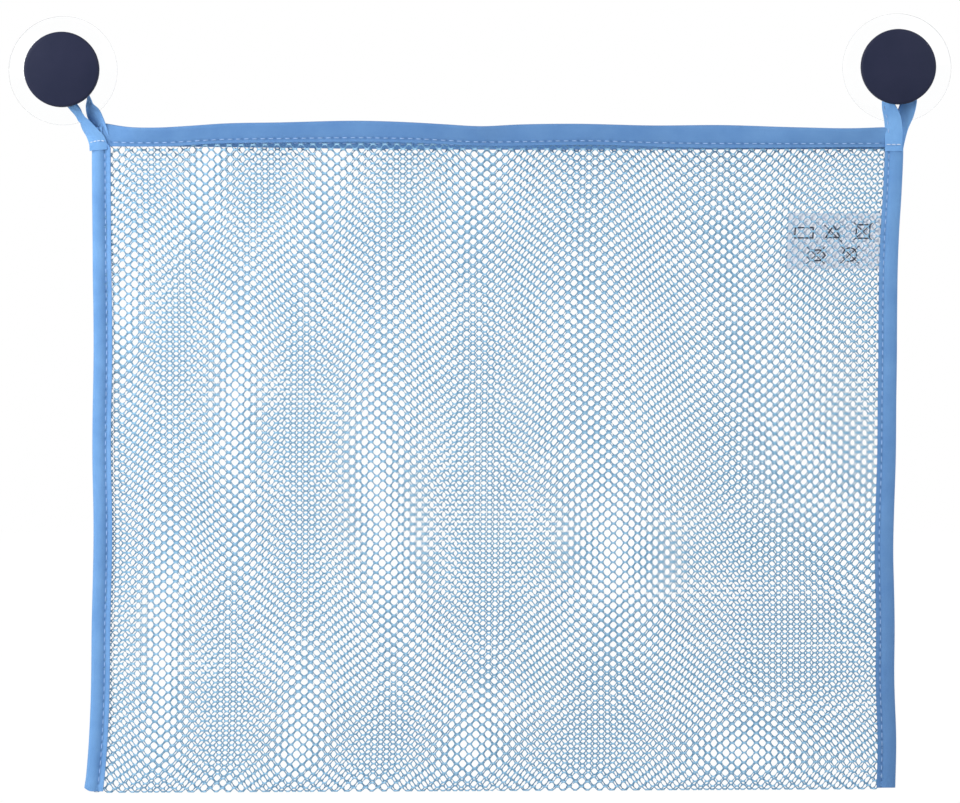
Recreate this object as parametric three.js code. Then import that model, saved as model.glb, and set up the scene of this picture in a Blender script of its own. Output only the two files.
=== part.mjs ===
// Bath toy organizer: a flat bag of open net that hangs on a tiled wall from two suction cups.
// Millimetres, +Z up. The wall is the plane y = 0, the cups stick to it and the bag's front faces -Y.
// The origin lies on the wall, midway between the two cups.
// "Depth" below is the distance from the wall towards the viewer, so y = -depth.
import * as THREE from "three";

// The bag
const BAG_WIDTH = 446; // over both side bindings, at the mouth
const BAG_HEIGHT = 366; // from the mouth's edge to the bottom fold
const BAG_OFFSET = 9.6; // the bag's middle, to the right of the midpoint between the cups
const RIGHT_LEAN = 4.7; // how far the right edge leans in on its way down
const LEFT_FLARE = 4; // how far the left edge kicks out at the bottom
const FRONT_BELLY = 14; // how far the front net bows out at the middle of the mouth
const BACK_BELLY = 5; // how far the back net bows towards the wall there

// The two suction cups and where they stand
const CUP_SPREAD = 13.5; // how much further apart the cups' axes are than the bag is wide
const CUP_RISE = 31.4; // the cups' mean height over the mouth's edge
const CUP_STAGGER = 1.5; // how much higher the right cup sits than the left one
const CUP_DIAMETER = 60;
const CUP_DEPTH = 8; // from the wall to the foot of the neck, before the cup is pressed flat
const CUP_WALL = 2.2; // at the middle of the dish
const RIM_WIDTH = 3; // flat ring that meets the wall
const RIM_THICKNESS = 1;
const NECK_RADIUS = 5;
const HEAD_RADIUS = 6.2; // the head that the cap is pressed over
const HEAD_LENGTH = 6;
const HEAD_CHAMFER = 0.8;

// The caps
const CAP_DIAMETER = 41.4;
const CAP_WALL = 1.8;
const CAP_CROWN = 1.4; // how far the front is domed
const CAP_EDGE = 1.6; // radius of the rounded front edge
const SOCKET_WALL = 2.4; // of the boss that grips the head

// Tape: bindings and hanging loops
const TAPE = 0.6; // thickness of one layer
const SIDE_TAPE_WIDTH = 10; // folded width of a side binding
const FRONT_TAPE_WIDTH = 12.5; // folded width of the binding on the front of the mouth
const BACK_TAPE_WIDTH = 14; // the same on the back, which shows below the front one
const LOOP_TAPE_WIDTH = 9.6;
const LOOP_END_LENGTH = 13; // the sewn-down end of a loop
const LOOP_END_INSET = 1; // from the inner edge of the side binding
const LOOP_OPENS = 0.4; // share of a leg's height in which a loop opens to its full width

// Net
const NET = 0.8; // thickness
const NET_STRAND = 4;
const NET_BAR = 6; // half the length of the level bars between gaps
const NET_COLUMNS = 13;
const NET_ROWS = 8;

// Stitching and label
const THREAD_WIDTH = 0.6;
const THREAD_HEIGHT = 0.4;
const STITCH_INSET = 2.4; // from the inner edge of a binding
const TACK_DROP = 8.5; // from the top of a loop's sewn end down to its cross stitching
const TACK_MARGIN = 0.8; // from the loop's edges
const LABEL_LENGTH = 54; // out of the right side seam
const LABEL_HEIGHT = 31;
const LABEL_DROP = 48; // from the mouth's edge to the label's top
const LABEL = 0.4; // thickness
const LABEL_TUCK = 5; // how much of it the side binding holds

// Clearances
const GAP = 0.3; // between pieces that touch on the real object
const FOLD_GAP = 0.5; // above the bottom fold, where the front net turns

// Facets
const SNAP = 1e-4; // corners closer than this are one corner
const CUP_FACETS = 48;
const DISH_STEPS = 6;
const BINDING_STEPS = 12;
const LEG_STEPS = 9;
const ARC_STEPS = 10;
const FOLD_STEPS = 4;

// Depths, counted from the wall
const NECK_LENGTH = LOOP_TAPE_WIDTH + 2 * GAP;
const NECK_END = CUP_DEPTH + NECK_LENGTH;
const BAG_DEPTH = CUP_DEPTH + NECK_LENGTH / 2;

// Depths inside the bag, counted from its middle plane
const MOUTH_HALF = NET / 2 + GAP + TAPE; // half the thickness of a bound mouth edge
const FRONT_SEAT = MOUTH_HALF + GAP / 2; // the front net, where it meets the side bindings
const BACK_SEAT = -FRONT_SEAT;
const SIDE_HALF = LABEL / 2 + GAP + TAPE; // half the thickness of a side binding, which holds the label
const LOOP_END_HALF = TAPE + GAP / 2; // half the thickness of a loop's two layers
const LOOP_END_SEAT = SIDE_HALF + GAP + LOOP_END_HALF;

// The two cups
const CUP_SPACING = BAG_WIDTH + CUP_SPREAD; // between their axes

// Heights
const MOUTH_Z = -CUP_RISE;
const BOTTOM_Z = MOUTH_Z - BAG_HEIGHT;
const FOLD_RADIUS = FRONT_SEAT; // to the middle of the net's thickness
const FOLD_Z = BOTTOM_Z + FOLD_RADIUS + NET / 2;

const clearPlastic = new THREE.MeshStandardMaterial({
  color: 0xeef3f5, roughness: 0.12, metalness: 0, transparent: true, opacity: 0.3,
});
const navyPlastic = new THREE.MeshStandardMaterial({ color: 0x2f324d, roughness: 0.55, metalness: 0 });
const blueTape = new THREE.MeshStandardMaterial({ color: 0x6f9fdc, roughness: 0.7, metalness: 0 });
const blueNet = new THREE.MeshStandardMaterial({ color: 0x7fb4dc, roughness: 0.75, metalness: 0 });
const paleThread = new THREE.MeshStandardMaterial({ color: 0xa9c6ee, roughness: 0.6, metalness: 0 });
const whiteSatin = new THREE.MeshStandardMaterial({ color: 0xe6ebf5, roughness: 0.5, metalness: 0 });

const organizer = new THREE.Group();

function addPiece(name, geometry, material) {
  const piece = new THREE.Mesh(geometry, material);
  piece.name = name;
  organizer.add(piece);
  return piece;
}

// Where a height lies on the bag: 0 at the mouth's edge, 1 at the bottom.
const dropAt = (z) => THREE.MathUtils.clamp((MOUTH_Z - z) / BAG_HEIGHT, 0, 1);

const edges = {
  left: (z) => BAG_OFFSET - BAG_WIDTH / 2 - LEFT_FLARE * dropAt(z) ** 6,
  right: (z) => BAG_OFFSET + BAG_WIDTH / 2 - RIGHT_LEAN * (1 - (1 - dropAt(z)) ** 3),
};

// A place between the two side bindings, from 0 at the left one to 1 at the right one, at a height.
function betweenBindings(share, z, margin = GAP) {
  const inner = SIDE_TAPE_WIDTH + margin;
  return THREE.MathUtils.lerp(edges.left(z) + inner, edges.right(z) - inner, share);
}

// How full the empty bag stands, from 0 along its side bindings and its bottom to 1 at the mouth's middle.
function fullness(x, z) {
  const [left, right] = [betweenBindings(0, z, 0), betweenBindings(1, z, 0)];
  const share = THREE.MathUtils.clamp((x - left) / (right - left), 0, 1);
  return 4 * share * (1 - share) * (1 - dropAt(z) ** 2);
}

const frontNetDepth = (x, z) => FRONT_SEAT + FRONT_BELLY * fullness(x, z);
const backNetDepth = (x, z) => BACK_SEAT - BACK_BELLY * fullness(x, z);

// A point of the bag from its place across, its height and its depth off the bag's middle plane.
const bagPoint = (x, z, depth) => new THREE.Vector3(x, -(BAG_DEPTH + depth), z);

// A closed solid through rings of points that all follow the same outline, which runs anticlockwise.
function loft(rings, outline) {
  const count = outline.length;
  const sides = [];
  for (let ring = 0; ring + 1 < rings.length; ring++) {
    for (let i = 0; i < count; i++) {
      const a = ring * count + i;
      const b = ring * count + ((i + 1) % count);
      sides.push([a, b, b + count], [a, b + count, a + count]);
    }
  }
  const last = (rings.length - 1) * count;
  const ends = THREE.ShapeUtils.triangulateShape(outline, []).flatMap(([a, b, c]) => [
    [c, b, a],
    [last + a, last + b, last + c],
  ]);
  const points = rings.flat();
  const triangles = [...sides, ...ends];
  const volume = triangles.reduce(
    (sum, [a, b, c]) => sum + points[a].dot(points[b].clone().cross(points[c])),
    0,
  );
  const facingOut = volume > 0 ? triangles : triangles.map(([a, b, c]) => [c, b, a]);
  const geometry = new THREE.BufferGeometry().setFromPoints(points);
  geometry.setIndex(facingOut.flat());
  geometry.computeVertexNormals();
  return geometry;
}

const evenly = (steps, from, to) =>
  Array.from({ length: steps + 1 }, (_, i) => THREE.MathUtils.lerp(from, to, i / steps));

const rectangle = (x0, x1, y0, y1) => [
  new THREE.Vector2(x0, y0),
  new THREE.Vector2(x1, y0),
  new THREE.Vector2(x1, y1),
  new THREE.Vector2(x0, y1),
];

// Tape folded in two, seen on end: x runs in from the fold, y is the depth off the tape's middle.
function foldedTape(width, half) {
  const round = (radius) =>
    evenly(FOLD_STEPS, Math.PI / 2, (3 * Math.PI) / 2).map(
      (angle) => new THREE.Vector2(half + radius * Math.cos(angle), radius * Math.sin(angle)),
    );
  return [
    new THREE.Vector2(width, half),
    ...round(half),
    new THREE.Vector2(width, -half),
    new THREE.Vector2(width, TAPE - half),
    ...round(half - TAPE).reverse(),
    new THREE.Vector2(width, half - TAPE),
  ];
}

// Suction cup of clear soft plastic: a dish with a flat rim, a neck for the loop and a head for the cap.
function suctionCup() {
  const radius = CUP_DIAMETER / 2;
  const hollow = radius - RIM_WIDTH;
  const outside = (r) => RIM_THICKNESS + (CUP_DEPTH - RIM_THICKNESS) * (1 - (r / radius) ** 2);
  const inside = (r) => (CUP_DEPTH - CUP_WALL) * (1 - (r / hollow) ** 2);
  const headEnd = NECK_END + HEAD_LENGTH;
  const profile = [
    ...evenly(DISH_STEPS, 0, hollow).map((r) => [r, inside(r)]),
    ...evenly(DISH_STEPS, radius, NECK_RADIUS).flatMap((r, i) => (i ? [[r, outside(r)]] : [[r, 0], [r, RIM_THICKNESS]])),
    [NECK_RADIUS, NECK_END],
    [HEAD_RADIUS, NECK_END + HEAD_RADIUS - NECK_RADIUS],
    [HEAD_RADIUS, headEnd - HEAD_CHAMFER],
    [HEAD_RADIUS - HEAD_CHAMFER, headEnd],
    [0, headEnd],
  ];
  return new THREE.LatheGeometry(profile.map(([r, depth]) => new THREE.Vector2(r, -depth)).reverse(), CUP_FACETS);
}

// Cap: a thin domed cover with a rounded edge and a boss inside that is pressed over the cup's head.
function cap() {
  const radius = CAP_DIAMETER / 2;
  const bore = HEAD_RADIUS + GAP;
  const boreEnd = NECK_END + HEAD_LENGTH + GAP;
  const plateFront = boreEnd + CAP_WALL;
  const crown = (r) => plateFront + CAP_CROWN * (1 - (r / (radius - CAP_EDGE)) ** 2);
  const edge = evenly(FOLD_STEPS, 0, Math.PI / 2).map((angle) => [
    radius - CAP_EDGE + CAP_EDGE * Math.cos(angle),
    plateFront - CAP_EDGE + CAP_EDGE * Math.sin(angle),
  ]);
  const profile = [
    [0, boreEnd],
    [bore, boreEnd],
    [bore, NECK_END + GAP],
    [bore + SOCKET_WALL, NECK_END + GAP],
    [bore + SOCKET_WALL, boreEnd],
    [radius - CAP_WALL, boreEnd],
    [radius - CAP_WALL, NECK_END],
    [radius, NECK_END],
    ...edge,
    ...evenly(FOLD_STEPS, radius - CAP_EDGE, 0).slice(1).map((r) => [r, crown(r)]),
  ];
  return new THREE.LatheGeometry(profile.map(([r, depth]) => new THREE.Vector2(r, -depth)).reverse(), CUP_FACETS);
}

// The part of a convex outline that lies inside a rectangle.
function clipped(outline, { x0, x1, y0, y1 }) {
  const sides = [(p) => p.x - x0, (p) => x1 - p.x, (p) => p.y - y0, (p) => y1 - p.y];
  return sides.reduce((points, inside) => {
    const kept = [];
    points.forEach((point, i) => {
      const next = points[(i + 1) % points.length];
      const [here, there] = [inside(point), inside(next)];
      if (here >= 0) kept.push(point);
      if (here * there < 0) kept.push(point.clone().lerp(next, here / (here - there)));
    });
    return kept;
  }, outline);
}

// A solid sheet of even thickness over flat triangles. placeAt puts a flat point and a thickness in space.
function thickSheet(triangles, thickness, placeAt) {
  const points = [];
  const indexOf = (point) => {
    const found = points.findIndex((other) => other.distanceToSquared(point) < SNAP ** 2);
    return found < 0 ? points.push(point) - 1 : found;
  };
  const front = triangles.map((triangle) => triangle.map(indexOf));
  const behind = points.length;
  const sides = front.flatMap(([a, b, c]) => [[a, b], [b, c], [c, a]]);
  const used = new Set(sides.map(String));
  const rims = sides.filter(([a, b]) => !used.has(String([b, a])));
  const index = [
    ...front,
    ...front.map(([a, b, c]) => [c + behind, b + behind, a + behind]),
    ...rims.flatMap(([a, b]) => [[b, a, a + behind], [b, a + behind, b + behind]]),
  ];
  const geometry = new THREE.BufferGeometry().setFromPoints([
    ...points.map((point) => placeAt(point, thickness / 2)),
    ...points.map((point) => placeAt(point, -thickness / 2)),
  ]);
  geometry.setIndex(index.flat());
  geometry.computeVertexNormals();
  return geometry;
}

// One net panel: six-sided gaps in staggered columns, laid out flat between the bindings and then bowed.
function netPanel(tapeWidth, depthAt) {
  const margin = NET_STRAND / 2;
  const sheet = { x0: 0, x1: BAG_WIDTH - 2 * SIDE_TAPE_WIDTH, y0: FOLD_Z + FOLD_GAP, y1: MOUTH_Z - TAPE - GAP };
  const seen = { ...sheet, y1: MOUTH_Z - tapeWidth };
  const holed = { x0: margin, x1: sheet.x1 - margin, y0: seen.y0 + margin, y1: seen.y1 - margin };
  const columnPitch = sheet.x1 / NET_COLUMNS;
  const rowPitch = (seen.y1 - seen.y0) / NET_ROWS;
  const slope = Math.hypot(columnPitch - 2 * NET_BAR, rowPitch / 2) / (rowPitch / 2);

  // A cell of the net, or with an inset the gap inside its strands.
  const hexagon = (x, y, inset) => {
    const tip = columnPitch - NET_BAR - inset * slope;
    const bar = NET_BAR - inset * (slope - (columnPitch - 2 * NET_BAR) / (rowPitch / 2));
    const high = rowPitch / 2 - inset;
    return [[-tip, 0], [-bar, -high], [bar, -high], [tip, 0], [bar, high], [-bar, high]].map(
      ([dx, dy]) => new THREE.Vector2(x + dx, y + dy),
    );
  };

  const triangles = [];
  for (let column = -1; column <= NET_COLUMNS; column++) {
    for (let row = -1; row <= NET_ROWS + 1; row++) {
      const x = columnPitch * (column + 0.5);
      const y = seen.y0 + rowPitch * (column % 2 ? row : row + 0.5);
      const cell = clipped(hexagon(x, y, 0), sheet);
      const gap = clipped(hexagon(x, y, margin), holed);
      if (THREE.ShapeUtils.area(cell) < GAP ** 2) continue;
      const gaps = THREE.ShapeUtils.area(gap) > NET_STRAND ** 2 ? [gap] : [];
      const points = [cell, ...gaps].flat();
      const faces = THREE.ShapeUtils.triangulateShape(cell, gaps);
      triangles.push(...faces.map((face) => face.map((i) => points[i])));
    }
  }
  return thickSheet(triangles, NET, (point, off) => {
    const x = betweenBindings(point.x / sheet.x1, point.y);
    return bagPoint(x, point.y, depthAt(x, point.y) + off);
  });
}

// The bottom of the net, where one length of net is folded up into the front.
function bottomFold() {
  const outer = FOLD_RADIUS + NET / 2;
  const inner = FOLD_RADIUS - NET / 2;
  const half = (radius) =>
    evenly(2 * FOLD_STEPS, Math.PI, 2 * Math.PI).map(
      (angle) => new THREE.Vector2(radius * Math.cos(angle), radius * Math.sin(angle)),
    );
  const outline = [...half(outer), ...half(inner).reverse()];
  const rings = [0, 1].map((share) =>
    outline.map((p) => bagPoint(betweenBindings(share, FOLD_Z + p.y), FOLD_Z + p.y, p.x)),
  );
  return loft(rings, outline);
}

// Heights at which the side bindings follow the bag's outline.
const sideHeights = evenly(BINDING_STEPS, BOTTOM_Z + GAP, MOUTH_Z - LOOP_END_HALF);

// Side binding: tape folded round both nets' side edges.
function sideBinding(side) {
  const inward = side === "left" ? 1 : -1;
  const outline = foldedTape(SIDE_TAPE_WIDTH, SIDE_HALF);
  const rings = sideHeights.map((z) => outline.map((p) => bagPoint(edges[side](z) + inward * p.x, z, p.y)));
  return loft(rings, outline);
}

// Thread along a side binding, on its front.
function sideStitching(side) {
  const inward = side === "left" ? 1 : -1;
  const line = SIDE_TAPE_WIDTH - STITCH_INSET;
  const front = SIDE_HALF + GAP;
  const outline = rectangle(line - THREAD_WIDTH / 2, line + THREAD_WIDTH / 2, front, front + THREAD_HEIGHT);
  const lowest = sideHeights[0];
  const highest = MOUTH_Z - LOOP_END_LENGTH - GAP;
  const rings = evenly(BINDING_STEPS, lowest, highest).map((z) =>
    outline.map((p) => bagPoint(edges[side](z) + inward * p.x, z, p.y)),
  );
  return loft(rings, outline);
}

// Rings of an outline along the mouth of one net. The outline's x runs down from the mouth's edge.
function alongMouth(outline, depthAt) {
  return evenly(BINDING_STEPS, 0, 1).map((share) =>
    outline.map((p) => {
      const z = MOUTH_Z - p.x;
      const x = betweenBindings(share, z);
      return bagPoint(x, z, depthAt(x, z) + p.y);
    }),
  );
}

// Mouth binding: tape folded down over the top edge of one net.
function mouthBinding(width, depthAt) {
  const outline = foldedTape(width, MOUTH_HALF);
  return loft(alongMouth(outline, depthAt), outline);
}

// Thread along a mouth binding. facing is 1 on the front of the bag and -1 on its back.
function mouthStitching(width, depthAt, facing) {
  const line = width - STITCH_INSET;
  const face = MOUTH_HALF + GAP + (facing < 0 ? THREAD_HEIGHT : 0);
  const outline = rectangle(
    line - THREAD_WIDTH / 2, line + THREAD_WIDTH / 2, facing * face, facing * face + THREAD_HEIGHT,
  );
  return loft(alongMouth(outline, depthAt), outline);
}

const cupAt = {
  left: new THREE.Vector3(-CUP_SPACING / 2, 0, -CUP_STAGGER / 2),
  right: new THREE.Vector3(CUP_SPACING / 2, 0, CUP_STAGGER / 2),
};

// The middle of a loop's sewn end, across the bag.
function loopEndX(side) {
  const inward = side === "left" ? 1 : -1;
  const innerEdge = SIDE_TAPE_WIDTH - LOOP_END_INSET;
  return edges[side](MOUTH_Z) + inward * (innerEdge - LOOP_TAPE_WIDTH / 2);
}

// The two ends of a loop, laid on each other and sewn to the front of the bag's corner.
// The top is round, because the bag turns about it.
function loopEnd(side) {
  const round = evenly(2 * FOLD_STEPS, 0, Math.PI).map(
    (angle) =>
      new THREE.Vector2(LOOP_END_HALF * Math.cos(angle), LOOP_END_HALF * (Math.sin(angle) - 1)),
  );
  const outline = [
    ...round,
    new THREE.Vector2(-LOOP_END_HALF, -LOOP_END_LENGTH),
    new THREE.Vector2(LOOP_END_HALF, -LOOP_END_LENGTH),
  ];
  const middle = loopEndX(side);
  const rings = [middle - LOOP_TAPE_WIDTH / 2, middle + LOOP_TAPE_WIDTH / 2].map((x) =>
    outline.map((p) => bagPoint(x, MOUTH_Z + p.y, LOOP_END_SEAT + p.x)),
  );
  return loft(rings, outline);
}

// Cross stitching that holds a loop's sewn end.
function loopTack(side) {
  const middle = loopEndX(side);
  const half = LOOP_TAPE_WIDTH / 2 - TACK_MARGIN;
  const front = LOOP_END_SEAT + LOOP_END_HALF + GAP;
  const z = MOUTH_Z - TACK_DROP;
  const outline = rectangle(z - THREAD_WIDTH / 2, z + THREAD_WIDTH / 2, front, front + THREAD_HEIGHT);
  const rings = [middle - half, middle + half].map((x) => outline.map((p) => bagPoint(x, p.x, p.y)));
  return loft(rings, outline);
}

// Hanging loop: tape that leaves its sewn end flat, turns a quarter round and goes over the cup's neck.
function hangingLoop(side) {
  const toViewer = new THREE.Vector3(0, -1, 0);
  const foot = bagPoint(loopEndX(side), MOUTH_Z + GAP, LOOP_END_SEAT);
  const neck = cupAt[side].clone().setY(-BAG_DEPTH);
  const up = neck.clone().sub(foot).setY(0).normalize();
  const across = new THREE.Vector3(up.z, 0, -up.x);
  const neckReach = NECK_RADIUS + GAP + TAPE / 2;
  const footReach = (TAPE + GAP) / 2;

  // One leg from the foot to the side of the neck. The front leg goes left and the back leg goes right.
  const leg = (facing) =>
    evenly(LEG_STEPS, 0, 1).map((share) => {
      const opened = THREE.MathUtils.smoothstep(share, 0, LOOP_OPENS);
      const turned = (THREE.MathUtils.smoothstep(share, 0, 1) * Math.PI) / 2;
      const place = foot.clone().lerp(neck, share);
      place.y = THREE.MathUtils.lerp(foot.y, neck.y, opened);
      place.addScaledVector(across, -facing * neckReach * opened);
      place.addScaledVector(toViewer, facing * footReach * Math.cos(turned));
      const level = new THREE.Vector3(1, 0, 0).lerp(across, share);
      const width = level.multiplyScalar(Math.cos(turned)).addScaledVector(toViewer, Math.sin(turned));
      return { place, width: width.normalize() };
    });
  const over = evenly(ARC_STEPS, Math.PI, 0)
    .slice(1, -1)
    .map((angle) => ({
      place: neck
        .clone()
        .addScaledVector(across, neckReach * Math.cos(angle))
        .addScaledVector(up, neckReach * Math.sin(angle)),
      width: toViewer.clone(),
    }));
  const stations = [...leg(1), ...over, ...leg(-1).reverse()];

  const outline = rectangle(-LOOP_TAPE_WIDTH / 2, LOOP_TAPE_WIDTH / 2, -TAPE / 2, TAPE / 2);
  const rings = stations.map(({ place, width }, i) => {
    const before = stations[Math.max(i - 1, 0)].place;
    const after = stations[Math.min(i + 1, stations.length - 1)].place;
    const through = after.clone().sub(before).cross(width).normalize();
    return outline.map((p) => place.clone().addScaledVector(width, p.x).addScaledVector(through, p.y));
  });
  return loft(rings, outline);
}

// Care label: a strip of satin held in the right side seam, between the two nets.
function careLabel() {
  const top = MOUTH_Z - LABEL_DROP;
  const heights = [top, top - LABEL_HEIGHT];
  const outline = rectangle(heights[1], heights[0], -LABEL / 2, LABEL / 2);
  const held = SIDE_TAPE_WIDTH - LABEL_TUCK;
  const rings = evenly(FOLD_STEPS, held, held + LABEL_LENGTH).map((inward) =>
    outline.map((p) => bagPoint(edges.right(p.x) - inward, p.x, p.y)),
  );
  return loft(rings, outline);
}

for (const side of ["left", "right"]) {
  addPiece(`${side}_suction_cup`, suctionCup(), clearPlastic).position.copy(cupAt[side]);
  addPiece(`${side}_cap`, cap(), navyPlastic).position.copy(cupAt[side]);
  addPiece(`${side}_loop`, hangingLoop(side), blueTape);
  addPiece(`${side}_loop_end`, loopEnd(side), blueTape);
  addPiece(`${side}_loop_tack`, loopTack(side), paleThread);
  addPiece(`${side}_side_binding`, sideBinding(side), blueTape);
  addPiece(`${side}_side_stitching`, sideStitching(side), paleThread);
}
addPiece("front_net", netPanel(FRONT_TAPE_WIDTH, frontNetDepth), blueNet);
addPiece("back_net", netPanel(BACK_TAPE_WIDTH, backNetDepth), blueNet);
addPiece("bottom_fold", bottomFold(), blueNet);
addPiece("front_mouth_binding", mouthBinding(FRONT_TAPE_WIDTH, frontNetDepth), blueTape);
addPiece("back_mouth_binding", mouthBinding(BACK_TAPE_WIDTH, backNetDepth), blueTape);
addPiece("front_mouth_stitching", mouthStitching(FRONT_TAPE_WIDTH, frontNetDepth, 1), paleThread);
addPiece("back_mouth_stitching", mouthStitching(BACK_TAPE_WIDTH, backNetDepth, -1), paleThread);
addPiece("care_label", careLabel(), whiteSatin);

export default organizer;
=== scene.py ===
"""Bath toy organizer: a net bag with bound edges, hung by tape loops from two capped suction cups."""
import math
from contextlib import contextmanager

import bpy
import numpy as np
from bpy.props import FloatProperty, FloatVectorProperty, PointerProperty
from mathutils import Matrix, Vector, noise


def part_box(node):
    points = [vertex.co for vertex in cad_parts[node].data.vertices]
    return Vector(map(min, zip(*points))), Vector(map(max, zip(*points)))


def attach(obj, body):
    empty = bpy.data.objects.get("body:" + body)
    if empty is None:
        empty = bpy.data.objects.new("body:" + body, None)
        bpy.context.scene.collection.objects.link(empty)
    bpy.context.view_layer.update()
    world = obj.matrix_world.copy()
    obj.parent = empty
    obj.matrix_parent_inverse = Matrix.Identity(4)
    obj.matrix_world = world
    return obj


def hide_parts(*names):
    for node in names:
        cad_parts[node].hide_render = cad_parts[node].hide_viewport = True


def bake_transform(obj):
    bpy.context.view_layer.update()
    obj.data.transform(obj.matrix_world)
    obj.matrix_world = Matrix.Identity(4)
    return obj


bl_info = {
    "name": "Bath Toy Organizer",
    "version": (1, 0, 0),
    "blender": (4, 5, 0),
    "location": "View3D > Sidebar > Organizer",
    "description": "Models a net bag for bath toys on two suction cups around its CAD frame",
    "category": "Object",
}

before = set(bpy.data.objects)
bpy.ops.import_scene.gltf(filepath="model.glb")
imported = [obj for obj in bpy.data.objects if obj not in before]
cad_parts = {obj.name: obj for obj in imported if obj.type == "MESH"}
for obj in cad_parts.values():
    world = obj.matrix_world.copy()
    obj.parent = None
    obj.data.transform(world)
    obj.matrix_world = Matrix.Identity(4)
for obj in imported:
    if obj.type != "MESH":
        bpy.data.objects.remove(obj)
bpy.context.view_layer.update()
MM = 0.001

# Where the solids put the bag and the cups
SIDE_LOW, SIDE_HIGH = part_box("left_side_binding")
MOUTH_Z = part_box("front_mouth_binding")[1].z
BOTTOM_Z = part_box("bottom_fold")[0].z
BAG_Y = (SIDE_LOW.y + SIDE_HIGH.y) / 2
LEFT_X = SIDE_LOW.x + 4 * MM  # the left side leans out by 4 mm at the bottom
RIGHT_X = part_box("right_side_binding")[1].x
HEIGHT = MOUTH_Z - BOTTOM_Z
SIDES = ("left", "right")


def middle_of(name):
    """The middle of a CAD node's box."""
    low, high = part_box(name)
    return (low + high) / 2


CUPS = {side: middle_of(f"{side}_suction_cup") for side in SIDES}

# Where the front panel goes over from the bag's motion at its seams to its own: places across and a height
FRONT_TURNS = {"left": (-0.195, -0.06), "right": (0.214, 0.08)}
FRONT_TURN_Z = -0.2
LOOP_BENDS = (-0.026, -0.038)  # heights between which a loop goes over from the cup to the bag
BOTTOM_RISE = {"left": -0.5 * MM, "right": 1.5 * MM}  # how far the bag's bottom corners hang off its level

# How far the bag's side edges stray to the right of upright ones: height and stray, in millimetres
SIDE_STRAYS = {
    "left": ((-397, -4), (-386, -2.8), (-375, -1.9), (-353, -0.7), (-309, 0), (-265, 1), (-199, 0.5),
             (-155, 1), (-89, 0.5), (-32, 0)),
    "right": ((-397, -4.4), (-375, -3.9), (-331, -5), (-309, -4.7), (-265, -5.5), (-221, -4.3),
              (-155, -3.5), (-111, -3.1), (-89, -2.3), (-67, -0.9), (-45, 0), (-32, 0)),
}
# How far the mouth's top edge strays from level: place along the bag and rise, in millimetres
MOUTH_WAVE = (
    (-206, 1.0), (-193, -1.1), (-179, -1.5), (-160, -0.6), (-142, 0.6), (-110, 1.2), (-62, 2.0),
    (-35, 1.0), (-20, 0.1), (0, -1.0), (22, 0), (48, 0.4), (96, -0.5), (132, -0.2), (176, -1.4),
    (206, -1.8), (221, -1.2),
)
# How far down from that level the bindings on the front and the back of the mouth reach
FRONT_HEM = (
    (-206, 11.4), (-170, 11.3), (-146, 10.0), (-104, 9.4), (-62, 9.2), (-35, 9.7), (-5, 11.2),
    (70, 11.0), (100, 12.0), (221, 11.8),
)
BACK_HEM = ((-206, 11.0), (-150, 11.6), (-40, 12.8), (221, 12.9))


def number_property(name, description, default, least=0.0, unit="LENGTH"):
    """A number that a user may change, a length in metres unless its unit says otherwise."""
    return FloatProperty(
        name=name, description=description, default=default, min=least, unit=unit, precision=5,
    )


def colour_property(name, description, default):
    """A colour that a user may change."""
    return FloatVectorProperty(
        name=name, description=description, default=default, size=3, min=0, max=1, subtype="COLOR",
    )


class OrganizerSizes(bpy.types.PropertyGroup):
    """Sizes of the net, the tape and the thread."""

    net_column: number_property("Net column", "From one column of gaps to the next", 3.33 * MM, 1 * MM)
    net_row: number_property("Net row", "Height of one gap of the net with its strand", 5.26 * MM, 1 * MM)
    net_bar: number_property("Net bar", "Half the length of the bars between gaps", 0.66 * MM, 0.1 * MM)
    net_strand: number_property("Net strand", "Thickness of the strands where they join", 1.1 * MM, 0.1 * MM)
    front_belly: number_property("Front belly", "How far the front net bows out at the mouth", 14 * MM)
    back_belly: number_property("Back belly", "How far the back net bows towards the wall", 5 * MM)
    tape: number_property("Tape", "Thickness of one layer of tape", 0.55 * MM, 0.1 * MM)
    side_tape: number_property("Side tape", "Folded width of the side bindings", 10 * MM, 4 * MM)
    back_tape: number_property("Back mouth tape", "Folded width of the back binding", 12.9 * MM, 4 * MM)
    front_tape: number_property("Front mouth tape", "Folded width of the front binding", 11.3 * MM, 4 * MM)
    loop_tape: number_property("Loop tape", "Width of the hanging loops", 9.6 * MM, 4 * MM)
    stitch_pitch: number_property("Stitch pitch", "From one stitch to the next", 4.5 * MM, 1 * MM)
    stitch_length: number_property("Stitch length", "Thread that shows of a stitch", 2.5 * MM, 0.5 * MM)
    thread: number_property("Thread", "Thickness of the sewing thread", 0.4 * MM, 0.1 * MM)


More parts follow.
